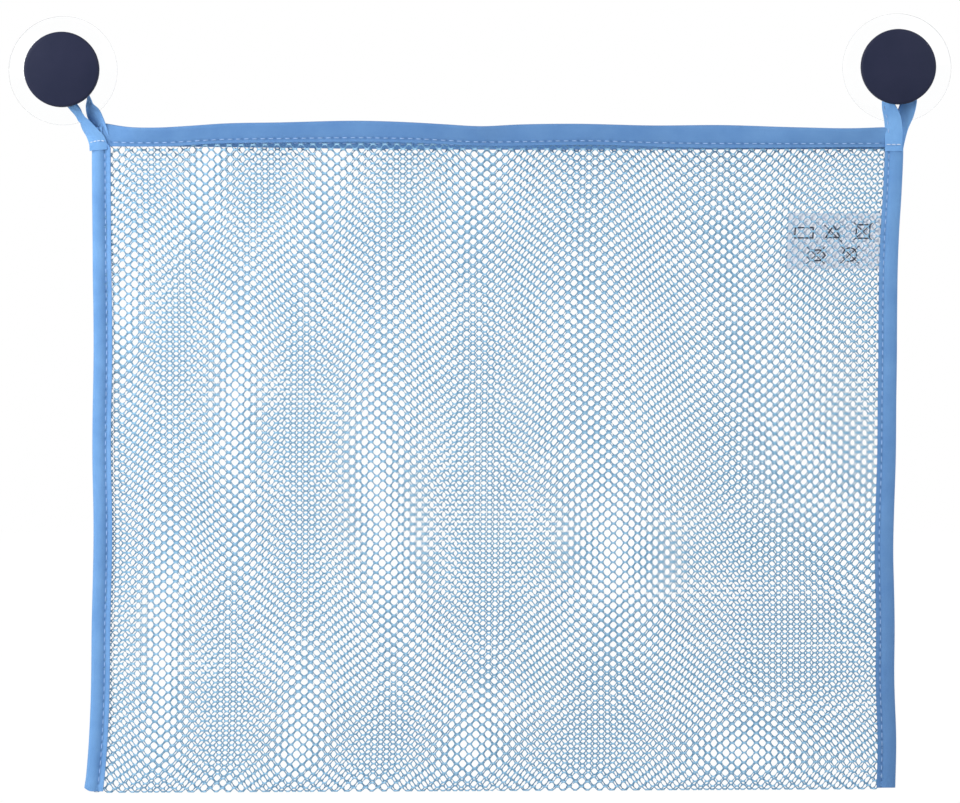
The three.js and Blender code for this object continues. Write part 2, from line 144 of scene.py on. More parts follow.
class OrganizerFinishes(bpy.types.PropertyGroup):
    """Colours of the cloth, the thread and the plastic."""

    tape_colour: colour_property("Tape", "Light blue of the woven tape", (0.268, 0.53, 0.885))
    tape_shade: colour_property("Tape shade", "The tape between its yarns", (0.137, 0.312, 0.64))
    # Painted shade: the tape is mixed towards this colour where its depth mark paints shade on it
    tape_painted_shade: colour_property("Tape deep", "The tape where its blue is deepest", (0.07, 0.16, 0.37))
    net_colour: colour_property("Net", "Light blue where the net's strands join", (0.33, 0.565, 0.765))
    net_shade: colour_property("Net shade", "Darker joins of the net", (0.25, 0.465, 0.66))
    # Painted shade: the net's strands between the joins are mixed towards this colour
    painted_leg_shade: colour_property("Net leg", "Tightly twisted strands between the joins", (0.11, 0.255, 0.41))
    thread_colour: colour_property("Thread", "Pale sewing thread", (0.38, 0.57, 0.88))
    tack_colour: colour_property("Tack thread", "White thread at the loops' ends", (0.66, 0.78, 0.95))
    cap_colour: colour_property("Cap", "Navy of the caps", (0.011, 0.0145, 0.037))
    cap_bloom: colour_property("Cap bloom", "Paler haze on the caps", (0.016, 0.019, 0.045))
    cup_colour: colour_property("Cup", "Clear soft plastic", (0.995, 0.998, 1.0))
    label_colour: colour_property("Label", "White satin", (0.91, 0.93, 0.98))
    ink_colour: colour_property("Label print", "Outlines printed on the label", (0.02, 0.022, 0.035))


class OrganizerStage(bpy.types.PropertyGroup):
    """The camera and the light."""

    camera_distance: number_property("Camera distance", "From the camera to the bag", 6.0, 0.5)
    view_width: number_property("View width", "Width of the view at the bag", 0.528, 0.1)
    view_centre: number_property("View centre", "Height of the view's centre", -0.1831, -10.0)
    key_power: number_property("Key light", "Power of the soft light at the left", 11.7, 0.0, "POWER")
    fill_power: number_property("Fill light", "Power of the soft light at the right", 6.3, 0.0, "POWER")
    room_light: number_property("Room light", "Brightness of the light from all round", 0.34, 0.0, "NONE")


def sizes():
    """The sizes that are set in the sidebar."""
    return bpy.context.scene.organizer_sizes


def finishes():
    """The colours that are set in the sidebar."""
    return bpy.context.scene.organizer_finishes


# The bag's shape


def curve_through(points):
    """A smooth curve through (place, value) points, as a function of arrays of places."""
    xs, ys = np.array(points, float).T
    slopes = np.gradient(ys, xs)

    def at(x):
        x = np.clip(x, xs[0], xs[-1])
        i = np.clip(np.searchsorted(xs, x) - 1, 0, len(xs) - 2)
        run = xs[i + 1] - xs[i]
        t = (x - xs[i]) / run
        rise = (2 * t**3 - 3 * t**2 + 1) * ys[i] + (3 * t**2 - 2 * t**3) * ys[i + 1]
        return rise + run * ((t**3 - 2 * t**2 + t) * slopes[i] + (t**3 - t**2) * slopes[i + 1])

    return at


def in_metres(points):
    """A list of points in millimetres, in metres."""
    return np.array(points, float) * MM


MOUTH_RISE = curve_through(in_metres(MOUTH_WAVE))
EDGE_STRAYS = {side: curve_through(in_metres(points)) for side, points in SIDE_STRAYS.items()}
HEMS = {"front": curve_through(in_metres(FRONT_HEM)), "back": curve_through(in_metres(BACK_HEM))}


def ripple(along, across=0.0, size=0.05, seed=0.0):
    """Gentle unevenness of cloth, about -1 to 1, over two arrays of places in metres."""
    along, across = np.broadcast_arrays(np.asarray(along, float), np.asarray(across, float))
    flat = [
        noise.noise((a / size + seed, b / size + 7.3 * seed, seed))
        for a, b in zip(along.ravel(), across.ravel())
    ]
    return np.array(flat).reshape(along.shape)


def drop(z):
    """Where a height lies on the bag: 0 at the mouth's edge, 1 at the bottom."""
    return np.clip((MOUTH_Z - z) / HEIGHT, 0, 1)


def edge(side, z):
    """The bag's outer edge on one side at a height."""
    return (LEFT_X if side == "left" else RIGHT_X) + EDGE_STRAYS[side](z)


def share_across(x, z):
    """0 at the left side binding's inner edge and 1 at the right one's."""
    left = edge("left", z) + sizes().side_tape
    right = edge("right", z) - sizes().side_tape
    return np.clip((x - left) / (right - left), 0, 1)


def fullness(x, z):
    """How full the empty bag stands: 0 along its seams, 1 at the middle of its mouth."""
    share = share_across(x, z)
    return 4 * share * (1 - share) * (1 - drop(z) ** 2)


NET_SEAT = 0.6 * MM  # how far each net stands off the bag's middle plane at its seams
NET_SLACK = 0.9 * MM  # how uneven the nets' bellies are
DEPTH_SEEDS = {"front": 3.1, "back": 5.7}


def net_depth(layer, x, z):
    """How far a net stands off the bag's middle plane, towards the viewer."""
    full = fullness(x, z)
    slack = NET_SLACK * ripple(x, z, 0.09, DEPTH_SEEDS[layer]) * np.sqrt(full)
    if layer == "front":
        return NET_SEAT + sizes().front_belly * full + slack
    return -NET_SEAT - sizes().back_belly * full + slack


FLARE_BLUR = 3.2 * MM  # how gently the flare of the mouth sets in
FLARE_START = 1.5 * MM  # how far the tape leans before the flare shows
MOUTH_SWAY = 0.4 * MM  # how far the mouth's edges wave in depth
HELD_ENDS = 24 * MM  # how far in from the bag's sides its mouth is held flat


def off_ends(x):
    """0 at the bag's sides, 1 where its mouth is free of them."""
    return np.clip(np.minimum(x - LEFT_X, RIGHT_X - x) / HELD_ENDS, 0, 1)


def mouth_lean(layer, x, down):
    """How far the mouth flares off its net's curve, at a share of its binding's width below its edge."""
    lean = MOUTH_SWAY * ripple(x, 0, 0.055, 1.2)
    if layer == "front":
        spare = sizes().front_tape ** 2 - (MOUTH_RISE(x) + HEMS["front"](x)) ** 2
        spare = (spare + np.hypot(spare, FLARE_BLUR ** 2)) / 2
        lean = lean + (np.hypot(np.sqrt(spare), FLARE_START) - FLARE_START)
    return lean * np.clip(1 - down, 0, 1) ** 1.3 * off_ends(x)


def points_at(x, depth, z):
    """Points of the bag from their places across, their depths off its middle plane and their heights."""
    x, depth, z = np.broadcast_arrays(x, depth, z)
    return np.stack([x, BAG_Y - depth, z], axis=-1)


# Modelling


def start_afresh():
    """Deselects everything, so that an operator acts only on what comes next."""
    bpy.ops.object.select_all(action="DESELECT")


def named(name):
    """The object just made, under its own name."""
    piece = bpy.context.object
    piece.name = piece.data.name = name
    return piece


@contextmanager
def editing():
    """Edit mode with all of the mesh selected."""
    bpy.ops.object.mode_set(mode="EDIT")
    bpy.ops.mesh.select_all(action="SELECT")
    yield
    bpy.ops.object.mode_set(mode="OBJECT")


def corners(piece):
    """A mesh's points as an array."""
    flat = np.empty(len(piece.data.vertices) * 3)
    piece.data.vertices.foreach_get("co", flat)
    return flat.reshape(-1, 3)


def move_corners(piece, places):
    """Puts a mesh's points at new places."""
    piece.data.vertices.foreach_set("co", np.ascontiguousarray(places, np.float32).ravel())
    piece.data.update()


def set_cloth_map(piece, across, along):
    """Gives each point its place on the flat cloth, in metres, as the mesh's UV map."""
    corner_points = np.empty(len(piece.data.loops), np.int32)
    piece.data.loops.foreach_get("vertex_index", corner_points)
    flat = np.stack([across, along], axis=-1)[corner_points]
    piece.data.uv_layers[0].data.foreach_set("uv", flat.astype(np.float32).ravel())


def finish_with(piece, kind, **settings):
    """Adds a modifier and applies it."""
    bpy.context.view_layer.objects.active = piece
    bpy.ops.object.modifier_add(type=kind)
    modifier = piece.modifiers[-1]
    for name, value in settings.items():
        setattr(modifier, name, value)
    bpy.ops.object.modifier_apply(modifier=modifier.name)


def smooth(piece, degrees=40):
    """Smooth shading with sharp edges kept."""
    start_afresh()
    piece.select_set(True)
    bpy.context.view_layer.objects.active = piece
    bpy.ops.object.shade_smooth_by_angle(angle=math.radians(degrees))


def mark_points(piece, label, values):
    """Gives each point of a mesh a value that its material reads."""
    piece.data.attributes.new(label, "FLOAT", "POINT")
    piece.data.attributes[label].data.foreach_set("value", np.asarray(values, np.float32))


def cloth_strip(name, cut, steps, lay, thickness, attribute=None, map_start=0.0):
    """A strip at its flat cut size, laid by lay(across, along) in metres and given its thickness."""
    start_afresh()
    bpy.ops.mesh.primitive_grid_add(x_subdivisions=steps[0], y_subdivisions=steps[1], size=1)
    strip = named(name)
    flat = corners(strip)
    across, along = flat[:, 0] * cut[0], (flat[:, 1] + 0.5) * cut[1]
    set_cloth_map(strip, across + cut[0] / 2, along + map_start)
    if attribute:
        label, value_at = attribute
        mark_points(strip, label, value_at(across, along))
    move_corners(strip, lay(across, along))
    finish_with(strip, "SOLIDIFY", thickness=thickness, offset=0, use_even_offset=True)
    smooth(strip)
    return strip


def folded(across, half):
    """Tape folded in two: distance in from the fold, depth, and the side, 1 for front and -1 for back."""
    side = np.where(across < 0, -1.0, 1.0)
    reach = np.abs(across)
    quarter = math.pi / 2 * half
    angle = np.minimum(reach, quarter) / half
    inward = half * (1 - np.cos(angle)) + np.maximum(reach - quarter, 0)
    return inward, side * half * np.sin(angle), side


def folded_cut(width, half):
    """Flat width of tape that folds to a width."""
    return 2 * (width - half + math.pi / 2 * half)


DENT_LENGTH, DENT_WIDTH = 0.65 * MM, 0.6 * MM  # how far a needle hole's dent reaches


def needle_dents(along, off_line, pitch):
    """1 at the needle holes of a line of stitches, fading to 0 around them."""
    to_hole = (along / pitch - np.round(along / pitch)) * pitch
    return np.exp(-((to_hole / DENT_LENGTH) ** 2) - (off_line / DENT_WIDTH) ** 2)


def hand_over(piece, material, body, stands_for=()):
    """Gives a piece its material, attaches it to a body given by name, and hides the CAD nodes it stands for.
    """
    piece.data.materials.clear()
    piece.data.materials.append(material_named(material))
    if isinstance(body, str):
        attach(piece, body)
    else:
        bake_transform(piece)
    if stands_for:
        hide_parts(*stands_for)
    return piece


def front_body(side):
    """The front panel's blend on one side: with the bag at the seam, with the panel in the middle."""
    start, end = FRONT_TURNS[side]
    return ("bag", "bag_front", (start, BAG_Y, FRONT_TURN_Z), (end, BAG_Y, FRONT_TURN_Z))


# Node groups and materials

WHITE, GREY = (1, 1, 1, 1), (0.5, 0.5, 0.5, 1)


def node(tree, kind, place, settings=None, inputs=None):
    """A shader node with its settings. An input is a value or another node's socket."""
    made = tree.nodes.new(kind)
    made.location = place
    for name, value in (settings or {}).items():
        setattr(made, name, value)
    for name, value in (inputs or {}).items():
        if isinstance(value, bpy.types.NodeSocket):
            tree.links.new(value, made.inputs[name])
        else:
            made.inputs[name].default_value = value
    return made


def math_node(tree, operation, place, *values):
    """The output of a Math node."""
    return node(tree, "ShaderNodeMath", place, {"operation": operation}, dict(enumerate(values))).outputs[0]


def mixed(tree, place, factor, first, second, blend="MIX"):
    """The colour output of a Mix node."""
    settings = {"data_type": "RGBA", "blend_type": blend}
    return node(tree, "ShaderNodeMix", place, settings, {0: factor, 6: first, 7: second}).outputs[2]


def opened_group(name, takes, gives):
    """A new node group with its sockets, its input node and its output node."""
    tree = bpy.data.node_groups.new(name, "ShaderNodeTree")
    for socket_name, kind, default in takes:
        socket = tree.interface.new_socket(name=socket_name, in_out="INPUT", socket_type=f"NodeSocket{kind}")
        if default is not None:
            socket.default_value = default
    for socket_name, kind in gives:
        tree.interface.new_socket(name=socket_name, in_out="OUTPUT", socket_type=f"NodeSocket{kind}")
    return tree, tree.nodes.new("NodeGroupInput"), tree.nodes.new("NodeGroupOutput")


def weave_group():
    """Plain weave on a flat cloth map: yarns over and under each other, with fuzz."""
    if "Plain Weave" in bpy.data.node_groups:
        return bpy.data.node_groups["Plain Weave"]
    tree, taken, given = opened_group(
        "Plain Weave",
        [("Vector", "Vector", None), ("Yarn", "Float", 0.0005), ("High", "Color", WHITE),
         ("Low", "Color", GREY)],
        [("Color", "Color"), ("Height", "Float")],
    )
    given.location = (1400, 0)
    per_metre = math_node(tree, "DIVIDE", (180, -120), 1.0, taken.outputs["Yarn"])
    scaled = node(
        tree, "ShaderNodeVectorMath", (360, 0), {"operation": "SCALE"},
        {0: taken.outputs["Vector"], "Scale": per_metre},
    ).outputs[0]
    split = node(tree, "ShaderNodeSeparateXYZ", (540, 0), None, {0: scaled})
    waves = []
    for i, axis in enumerate("XY"):
        angle = math_node(tree, "MULTIPLY", (700, -160 * i), split.outputs[axis], math.pi)
        wave = math_node(tree, "SINE", (700, -160 * i - 40), angle)
        waves.append(math_node(tree, "ABSOLUTE", (700, -160 * i - 80), wave))
    over = node(tree, "ShaderNodeTexChecker", (700, 240), None, {"Vector": scaled, "Scale": 1.0})
    yarns = []
    for i, (first, second) in enumerate((waves, waves[::-1])):
        bend = math_node(tree, "MULTIPLY_ADD", (880, -160 * i), second, 0.45, 0.55)
        yarns.append(math_node(tree, "MULTIPLY", (880, -160 * i - 40), first, bend))
    height = node(
        tree, "ShaderNodeMix", (1040, 0), {"data_type": "FLOAT"},
        {0: over.outputs["Fac"], 2: yarns[0], 3: yarns[1]},
    ).outputs[0]
    fuzz = node(
        tree, "ShaderNodeTexNoise", (1040, -220), None,
        {"Vector": scaled, "Scale": 2.3, "Detail": 3.0, "Roughness": 0.6},
    ).outputs["Fac"]
    rough_height = math_node(tree, "MULTIPLY_ADD", (1200, -120), fuzz, 0.35, height)
    colour = mixed(tree, (1200, 160), height, taken.outputs["Low"], taken.outputs["High"])
    tree.links.new(colour, given.inputs["Color"])
    tree.links.new(rough_height, given.inputs["Height"])
    return tree


def unevenness_group():
    """Slow drift between two colours, with a value that follows it."""
    if "Uneven Colour" in bpy.data.node_groups:
        return bpy.data.node_groups["Uneven Colour"]
    tree, taken, given = opened_group(
        "Uneven Colour",
        [("Vector", "Vector", None), ("Scale", "Float", 40.0), ("Detail", "Float", 3.0),
         ("First", "Color", WHITE), ("Second", "Color", GREY)],
        [("Color", "Color"), ("Value", "Float")],
    )
    given.location = (700, 0)
    drift = node(
        tree, "ShaderNodeTexNoise", (220, 0), None,
        {"Vector": taken.outputs["Vector"], "Scale": taken.outputs["Scale"],
         "Detail": taken.outputs["Detail"], "Roughness": 0.55},
    ).outputs["Fac"]
    spread = node(
        tree, "ShaderNodeMapRange", (400, 0), None, {"Value": drift, "From Min": 0.3, "From Max": 0.7},
    ).outputs[0]
    colour = mixed(tree, (540, 100), spread, taken.outputs["First"], taken.outputs["Second"])
    tree.links.new(colour, given.inputs["Color"])
    tree.links.new(spread, given.inputs["Value"])
    return tree


def opened_material(name):
    """A new material with its tree, its shader and its texture coordinates."""
    material = bpy.data.materials.new(name)
    material.use_nodes = True
    tree = material.node_tree
    shader = tree.nodes["Principled BSDF"]
    shader.location = (900, 0)
    tree.nodes["Material Output"].location = (1200, 0)
    places = node(tree, "ShaderNodeTexCoord", (-600, 0))
    return material, tree, shader, places


def group_node(tree, group, place, inputs):
    """A node group placed in a material with its own values."""
    return node(tree, "ShaderNodeGroup", place, {"node_tree": group}, inputs)


def drifting(tree, places, scale, first, second):
    """Slow drift between two colours over a piece."""
    inputs = {"Vector": places.outputs["Object"], "Scale": scale, "First": first, "Second": second}
    return group_node(tree, unevenness_group(), (-300, -150), inputs)


def woven(tree, places, yarn, high, low):
    """Plain weave on a piece's flat cloth map, from its yarn's width and two colours."""
    inputs = {"Vector": places.outputs["UV"], "Yarn": yarn, "High": high, "Low": low}
    return group_node(tree, weave_group(), (-300, 200), inputs)


def twisted(tree, places, scale, distortion):
    """The slanting plies of a yarn."""
    return node(
        tree, "ShaderNodeTexWave", (-300, -420), {"wave_type": "BANDS", "bands_direction": "DIAGONAL"},
        {"Vector": places.outputs["Object"], "Scale": scale, "Distortion": distortion, "Detail": 2.0},
    )


def opaque(colour, factor=1.0):
    """A colour with its alpha, lightened or darkened."""
    return tuple(min(part * factor, 1) for part in colour) + (1,)


def shade(tree, shader, colour, value, roughness, settings):
    """Gives a shader its colour, its plain settings, and a roughness that follows a value."""
    rough = math_node(tree, "MULTIPLY_ADD", (400, -120), value, *roughness)
    tree.links.new(colour, shader.inputs["Base Color"])
    tree.links.new(rough, shader.inputs["Roughness"])
    for name, setting in settings.items():
        shader.inputs[name].default_value = setting


def bumped(tree, shader, height, distance, strength):
    """Feeds a height to a shader's Normal, with the relief's depth in metres."""
    bump = node(
        tree, "ShaderNodeBump", (700, -300), None,
        {"Height": height, "Distance": distance, "Strength": strength},
    )
    tree.links.new(bump.outputs[0], shader.inputs["Normal"])


def tape_look(tree, shader, places):
    """Light blue woven tape with painted shade, darkest along the mouth and in the needle holes' dents."""
    own = finishes()
    weave = woven(tree, places, 0.42 * MM, opaque(own.tape_colour), opaque(own.tape_shade))
    drift = drifting(tree, places, 75.0, WHITE, (0.76, 0.82, 0.89, 1))
    cloth = mixed(tree, (100, 100), 1.0, weave.outputs["Color"], drift.outputs["Color"], "MULTIPLY")
    # The depth mark is painted shade: how far each point of the tape is darkened towards the painted shade
    # colour
    painted_shade_mark = node(tree, "ShaderNodeAttribute", (100, -200), {"attribute_name": "depth"})
    with_painted_shade = mixed(tree, (400, 100), painted_shade_mark.outputs["Fac"], cloth, opaque(own.tape_painted_shade))
    settings = {"Sheen Weight": 0.05, "Specular IOR Level": 0.1}
    shade(tree, shader, with_painted_shade, drift.outputs["Value"], (0.12, 0.72), settings)
    bumped(tree, shader, weave.outputs["Height"], 0.14 * MM, 0.7)


def net_look(tree, shader, places):
    """Knitted polyester strands, uneven in colour along the yarn, with painted shade on the strands between
    the joins.
    """
    own = finishes()
    drift = drifting(tree, places, 320.0, opaque(own.net_colour), opaque(own.net_shade))
    fibres = twisted(tree, places, 900.0, 3.0)
    leg = node(tree, "ShaderNodeAttribute", (-300, 380), {"attribute_name": "leg"}).outputs["Fac"]
    leg_shade_share = math_node(tree, "SQRT", (-100, 380), leg)
    strand = mixed(tree, (0, 200), leg_shade_share, drift.outputs["Color"], opaque(own.painted_leg_shade))
    yarn = mixed(tree, (200, 100), 0.25, strand, fibres.outputs["Color"], "SOFT_LIGHT")
    settings = {"Sheen Weight": 0.15, "Specular IOR Level": 0.35}
    shade(tree, shader, yarn, drift.outputs["Value"], (0.15, 0.62), settings)
    bumped(tree, shader, fibres.outputs["Fac"], 0.06 * MM, 0.6)


def two_ply_look(tree, shader, places, colour):
    """Two-ply sewing thread of a colour."""
    drift = drifting(tree, places, 260.0, opaque(colour), opaque(colour, 0.78))
    plies = twisted(tree, places, 700.0, 1.0)
    shade(tree, shader, drift.outputs["Color"], drift.outputs["Value"], (0.2, 0.45), {"Sheen Weight": 0.2})
    bumped(tree, shader, plies.outputs["Fac"], 0.08 * MM, 0.8)


def thread_look(tree, shader, places):
    """Pale thread along the bindings."""
    two_ply_look(tree, shader, places, finishes().thread_colour)


def tack_look(tree, shader, places):
    """White thread at the loops' ends."""
    two_ply_look(tree, shader, places, finishes().tack_colour)


def cap_look(tree, shader, places):
    """Navy plastic from a finely sparked mould."""
    own = finishes()
    drift = drifting(tree, places, 45.0, opaque(own.cap_colour), opaque(own.cap_bloom))
    grain = node(
        tree, "ShaderNodeTexNoise", (-300, -420), None,
        {"Vector": places.outputs["Object"], "Scale": 2600.0, "Detail": 2.0, "Roughness": 0.7},
    ).outputs["Fac"]
    shade(tree, shader, drift.outputs["Color"], grain, (0.3, 0.4), {"Specular IOR Level": 0.14})
    bumped(tree, shader, grain, 0.05 * MM, 0.35)


def cup_look(tree, shader, places):
    """Clear soft plastic with a faint flow pattern."""
    clear = finishes().cup_colour
    drift = drifting(tree, places, 60.0, opaque(clear), opaque(clear, 0.99))
    settings = {"Transmission Weight": 1.0, "IOR": 1.2}
    shade(tree, shader, drift.outputs["Color"], drift.outputs["Value"], (0.05, 0.03), settings)
    bumped(tree, shader, drift.outputs["Value"], 0.05 * MM, 0.3)


def satin_look(tree, shader, places):
    """Thin white satin ribbon with fine lengthwise threads."""
    white = finishes().label_colour
    weave = woven(tree, places, 0.2 * MM, opaque(white), opaque(white, 0.8))
    drift = drifting(tree, places, 80.0, WHITE, (0.93, 0.95, 0.98, 1))
    cloth = mixed(tree, (200, 100), 1.0, weave.outputs["Color"], drift.outputs["Color"], "MULTIPLY")
    settings = {"Transmission Weight": 0.8, "IOR": 1.1}
    shade(tree, shader, cloth, drift.outputs["Value"], (0.15, 0.38), settings)
    bumped(tree, shader, weave.outputs["Height"], 0.04 * MM, 0.5)


def ink_look(tree, shader, places):
    """Dark print that has sunk into satin."""
    ink = finishes().ink_colour
    drift = drifting(tree, places, 900.0, opaque(ink), opaque(ink, 1.8))
    shade(tree, shader, drift.outputs["Color"], drift.outputs["Value"], (0.2, 0.6), {})


# Each material's look and the CAD slot that it belongs to
MATERIALS = {
    "Blue Woven Tape": (tape_look, "blue_tape"),
    "Blue Net": (net_look, "blue_net"),
    "Pale Thread": (thread_look, "pale_thread"),
    "White Tack Thread": (tack_look, "pale_thread"),
    "Navy Moulded Plastic": (cap_look, "navy_cap"),
    "Clear Soft Plastic": (cup_look, "clear_cup"),
    "White Satin": (satin_look, "white_satin"),
    "Label Print": (ink_look, "white_satin"),
}


def material_named(name):
    """One of these materials, built the first time it is asked for."""
    if name not in bpy.data.materials:
        _, tree, shader, places = opened_material(name)
        MATERIALS[name][0](tree, shader, places)
    return bpy.data.materials[name]


# Net

NET_TOP = 8 * MM  # from the mouth's edge down to the nets' edges, inside the bindings
NET_IN_TAPE = 4.5 * MM  # how far the nets reach into the side bindings
NET_FOLD = 1.5 * MM  # radius of the bottom fold
HALFWAY = 0.2  # how much of the rest of the thickness a strand has halfway between joins
STRAND_DEPTH = 0.5  # a strand's depth as a share of its width
THIN_STRAND = 0.25  # thickness of a hidden strand as a share of a full one
CELL_MERGE = 0.05 * MM  # points of neighbouring cells that are closer become one
NET_SWAY = 0.3 * MM  # how far the strands stray on the bag
SWAY_SEEDS = {"front": 1.7, "back": 9.2}
SWAY_RISE = 30  # how soon inside its hidden edges a net is free to stray
PULL_ROUNDS = 5  # rounds in which the pulled place settles
PULL_PAST = 4 * MM  # how far the pulled net may reach past its left edge
FOLD_REACH = 30 * MM  # height over which its lower end is brought back to the fold


def net_cells(name, columns, rows, column, row, bar):
    """A flat sheet of six-sided cells in staggered columns, its lower left cell's middle at the origin.

    The slanting sides have a point halfway, so that their strands can be thinner there.
    """
    start_afresh()
    bpy.ops.mesh.primitive_circle_add(vertices=10, radius=1, fill_type="NGON")
    sheet = named(name)
    tip, high = column - bar, row / 2
    quarter = [(bar, high), ((bar + tip) / 2, high / 2), (tip, 0)]
    outline = {(x * right, y * up) for x, y in quarter for right in (1, -1) for up in (1, -1)}
    outline = sorted(outline, key=lambda point: math.atan2(point[1], point[0]))
    turn = np.argsort(np.arctan2(*corners(sheet)[:, 1::-1].T))
    places = np.zeros((len(outline), 3))
    places[turn, :2] = outline
    move_corners(sheet, places)
    with editing():
        bpy.ops.mesh.duplicate()
        bpy.ops.transform.translate(value=(column, high, 0))
    for count, step in ((columns // 2, (2 * column, 0, 0)), (rows, (0, row, 0))):
        finish_with(
            sheet, "ARRAY", count=count, use_relative_offset=False, use_constant_offset=True,
            constant_offset_displace=step, use_merge_vertices=True, merge_threshold=CELL_MERGE,
        )
    finish_with(sheet, "WELD", merge_threshold=CELL_MERGE)
    return sheet


def net_surface(layer, x, z):
    """How far a net's middle stands off the bag's middle plane, with the flare of the mouth."""
    rise = MOUTH_RISE(x)
    down = (MOUTH_Z + rise - z) / (rise + HEMS[layer](x))
    return net_depth(layer, x, z) + mouth_lean(layer, x, down)


def net_strands(sheet, layer, thickness, shares):
    """Turns cells into strands, each point with its own share of the full thickness, and flattens them."""
    group = sheet.vertex_groups.new(name="strand")
    for share in np.unique(shares):
        group.add([int(i) for i in np.flatnonzero(shares == share)], float(share), "REPLACE")
    finish_with(
        sheet, "WIREFRAME", thickness=thickness, offset=0, use_even_offset=False, use_boundary=True,
        use_replace=True, vertex_group=group.name, thickness_vertex_group=THIN_STRAND,
    )
    sheet.vertex_groups.clear()
    places = corners(sheet)
    middle = BAG_Y - net_surface(layer, places[:, 0], places[:, 2])
    above_fold = np.clip((places[:, 2] - BOTTOM_Z) / (4 * NET_FOLD) - 0.5, 0, 1)
    places[:, 1] += (middle - places[:, 1]) * (1 - STRAND_DEPTH) * above_fold
    move_corners(sheet, places)
    smooth(sheet, 60)


def back_pull(across, down):
    """How far the back net was pulled from lying gap on gap with the front one as it was sewn in.

    It is gathered least at the left. The result is in metres to the left and upwards. across and down run
    from -1 to 1 over the net.
    """
    to_left = 2.8 + down - 1.3 * down**3 - (12.4 - 1.2 * down + 1.3 * down**2) * across
    to_left = to_left + (5.1 - 0.7 * down) * across**2
    upwards = 0.3 - 2.4 * down - 0.7 * down**2 - 0.4 * down**3
    upwards = upwards + (0.5 + 0.4 * down - 1.9 * down**2) * across + 1.9 * across**3
    return to_left * MM, upwards * MM


def pulled(across, down, width, height):
    """Places on the back net, in metres from the left and from the top, once it is pulled."""
    new_across, new_down = across, down
    for _ in range(PULL_ROUNDS):
        left, up = back_pull(2 * new_across / width - 1, 2 * new_down / height - 1)
        new_across, new_down = across - left, down - up
    new_across = np.where(new_across < 0, PULL_PAST * np.tanh(new_across / PULL_PAST), new_across)
    low_end = down.max() - back_pull(2 * new_across / width - 1, 1.0)[1]
    near_fold = np.clip((new_down - height + FOLD_REACH) / FOLD_REACH, 0, 1)
    return new_across, new_down + (height - low_end) * near_fold ** 2


def lay_net(sheet, layer, across, down):
    """Puts flat net on the bag, and says which of its points the tape hides.

    across runs from 0 to 1 between its two hidden edges, and down is the distance from its top edge.
    """
    tuck = sizes().side_tape - NET_IN_TAPE
    straight = HEIGHT - NET_TOP - NET_FOLD
    turn = np.clip((down - straight) / NET_FOLD, 0, math.pi / 2)
    height = MOUTH_Z - NET_TOP - np.minimum(down, straight) - NET_FOLD * np.sin(turn)
    settle = BOTTOM_RISE["left"] + (BOTTOM_RISE["right"] - BOTTOM_RISE["left"]) * across
    left, right = edge("left", height) + tuck, edge("right", height) - tuck
    x = left + (right - left) * across
    seed = SWAY_SEEDS[layer]
    x = x + NET_SWAY * ripple(x, height, 0.07, seed) * np.clip(SWAY_RISE * across * (1 - across), 0, 1)
    sway = NET_SWAY * ripple(x, height, 0.06, seed + 2) * (1 - drop(height) ** 8)
    z = height + settle * drop(height) ** 3 + sway
    move_corners(sheet, points_at(x, net_surface(layer, x, z) * np.cos(turn), z))
    inside = np.minimum(x - edge("left", z), edge("right", z) - x) < sizes().side_tape - MM
    return inside | (z > MOUTH_Z - HEMS[layer](x) + MM)


def make_net(layer):
    """One net in two halves."""
    own = sizes()
    width = RIGHT_X - LEFT_X - 2 * (own.side_tape - NET_IN_TAPE)
    height = HEIGHT - NET_TOP + (math.pi / 2 - 1) * NET_FOLD
    columns, rows = 4 * round(width / own.net_column / 4), round(height / own.net_row)
    column, row = width / columns, height / rows
    start, end, low_row, rows_laid = 0, columns, 0, rows
    if layer == "back":
        start = 2 * round(back_pull(-1, 0)[0] / (2 * column))
        end = columns + 2 * round(back_pull(1, 0)[0] / (2 * column))
        low_row, rows_laid = 1, rows - 2
    middle = start + 2 * round((end - start) / 4)
    for side, first, last in (("left", start, middle), ("right", middle, end)):
        sheet = net_cells(f"net_{layer}_{side}", last - first, rows_laid, column, row, own.net_bar)
        flat = corners(sheet)
        across = flat[:, 0] + (first + 0.25) * column
        down = height - (low_row + 0.5) * row - flat[:, 1]
        halfway = np.round(flat[:, 1] / (row / 4)) % 2 == 1
        seam = (flat[:, 0] < flat[:, 0].min() + column - 1.5 * own.net_bar) & (side == "right")
        if layer == "back":
            across, down = pulled(across, down, width, height)
        hidden = lay_net(sheet, layer, across / width, down)
        share = np.where(seam | hidden, 0.0, np.where(halfway, HALFWAY, 1.0))
        # The leg mark tells the net's material where to paint shade on the strands between the joins
        mark_points(sheet, "leg", halfway)
        net_strands(sheet, layer, own.net_strand, share)
        if layer == "front":
            hand_over(sheet, "Blue Net", front_body(side), ("front_net",))
        else:
            hand_over(sheet, "Blue Net", "bag", ("back_net", "bottom_fold"))


def make_nets():
    """The front net and the back net."""
    make_net("front")
    make_net("back")


# Bindings. The sides' tape goes by its side, the mouth's tape by the net that it binds.

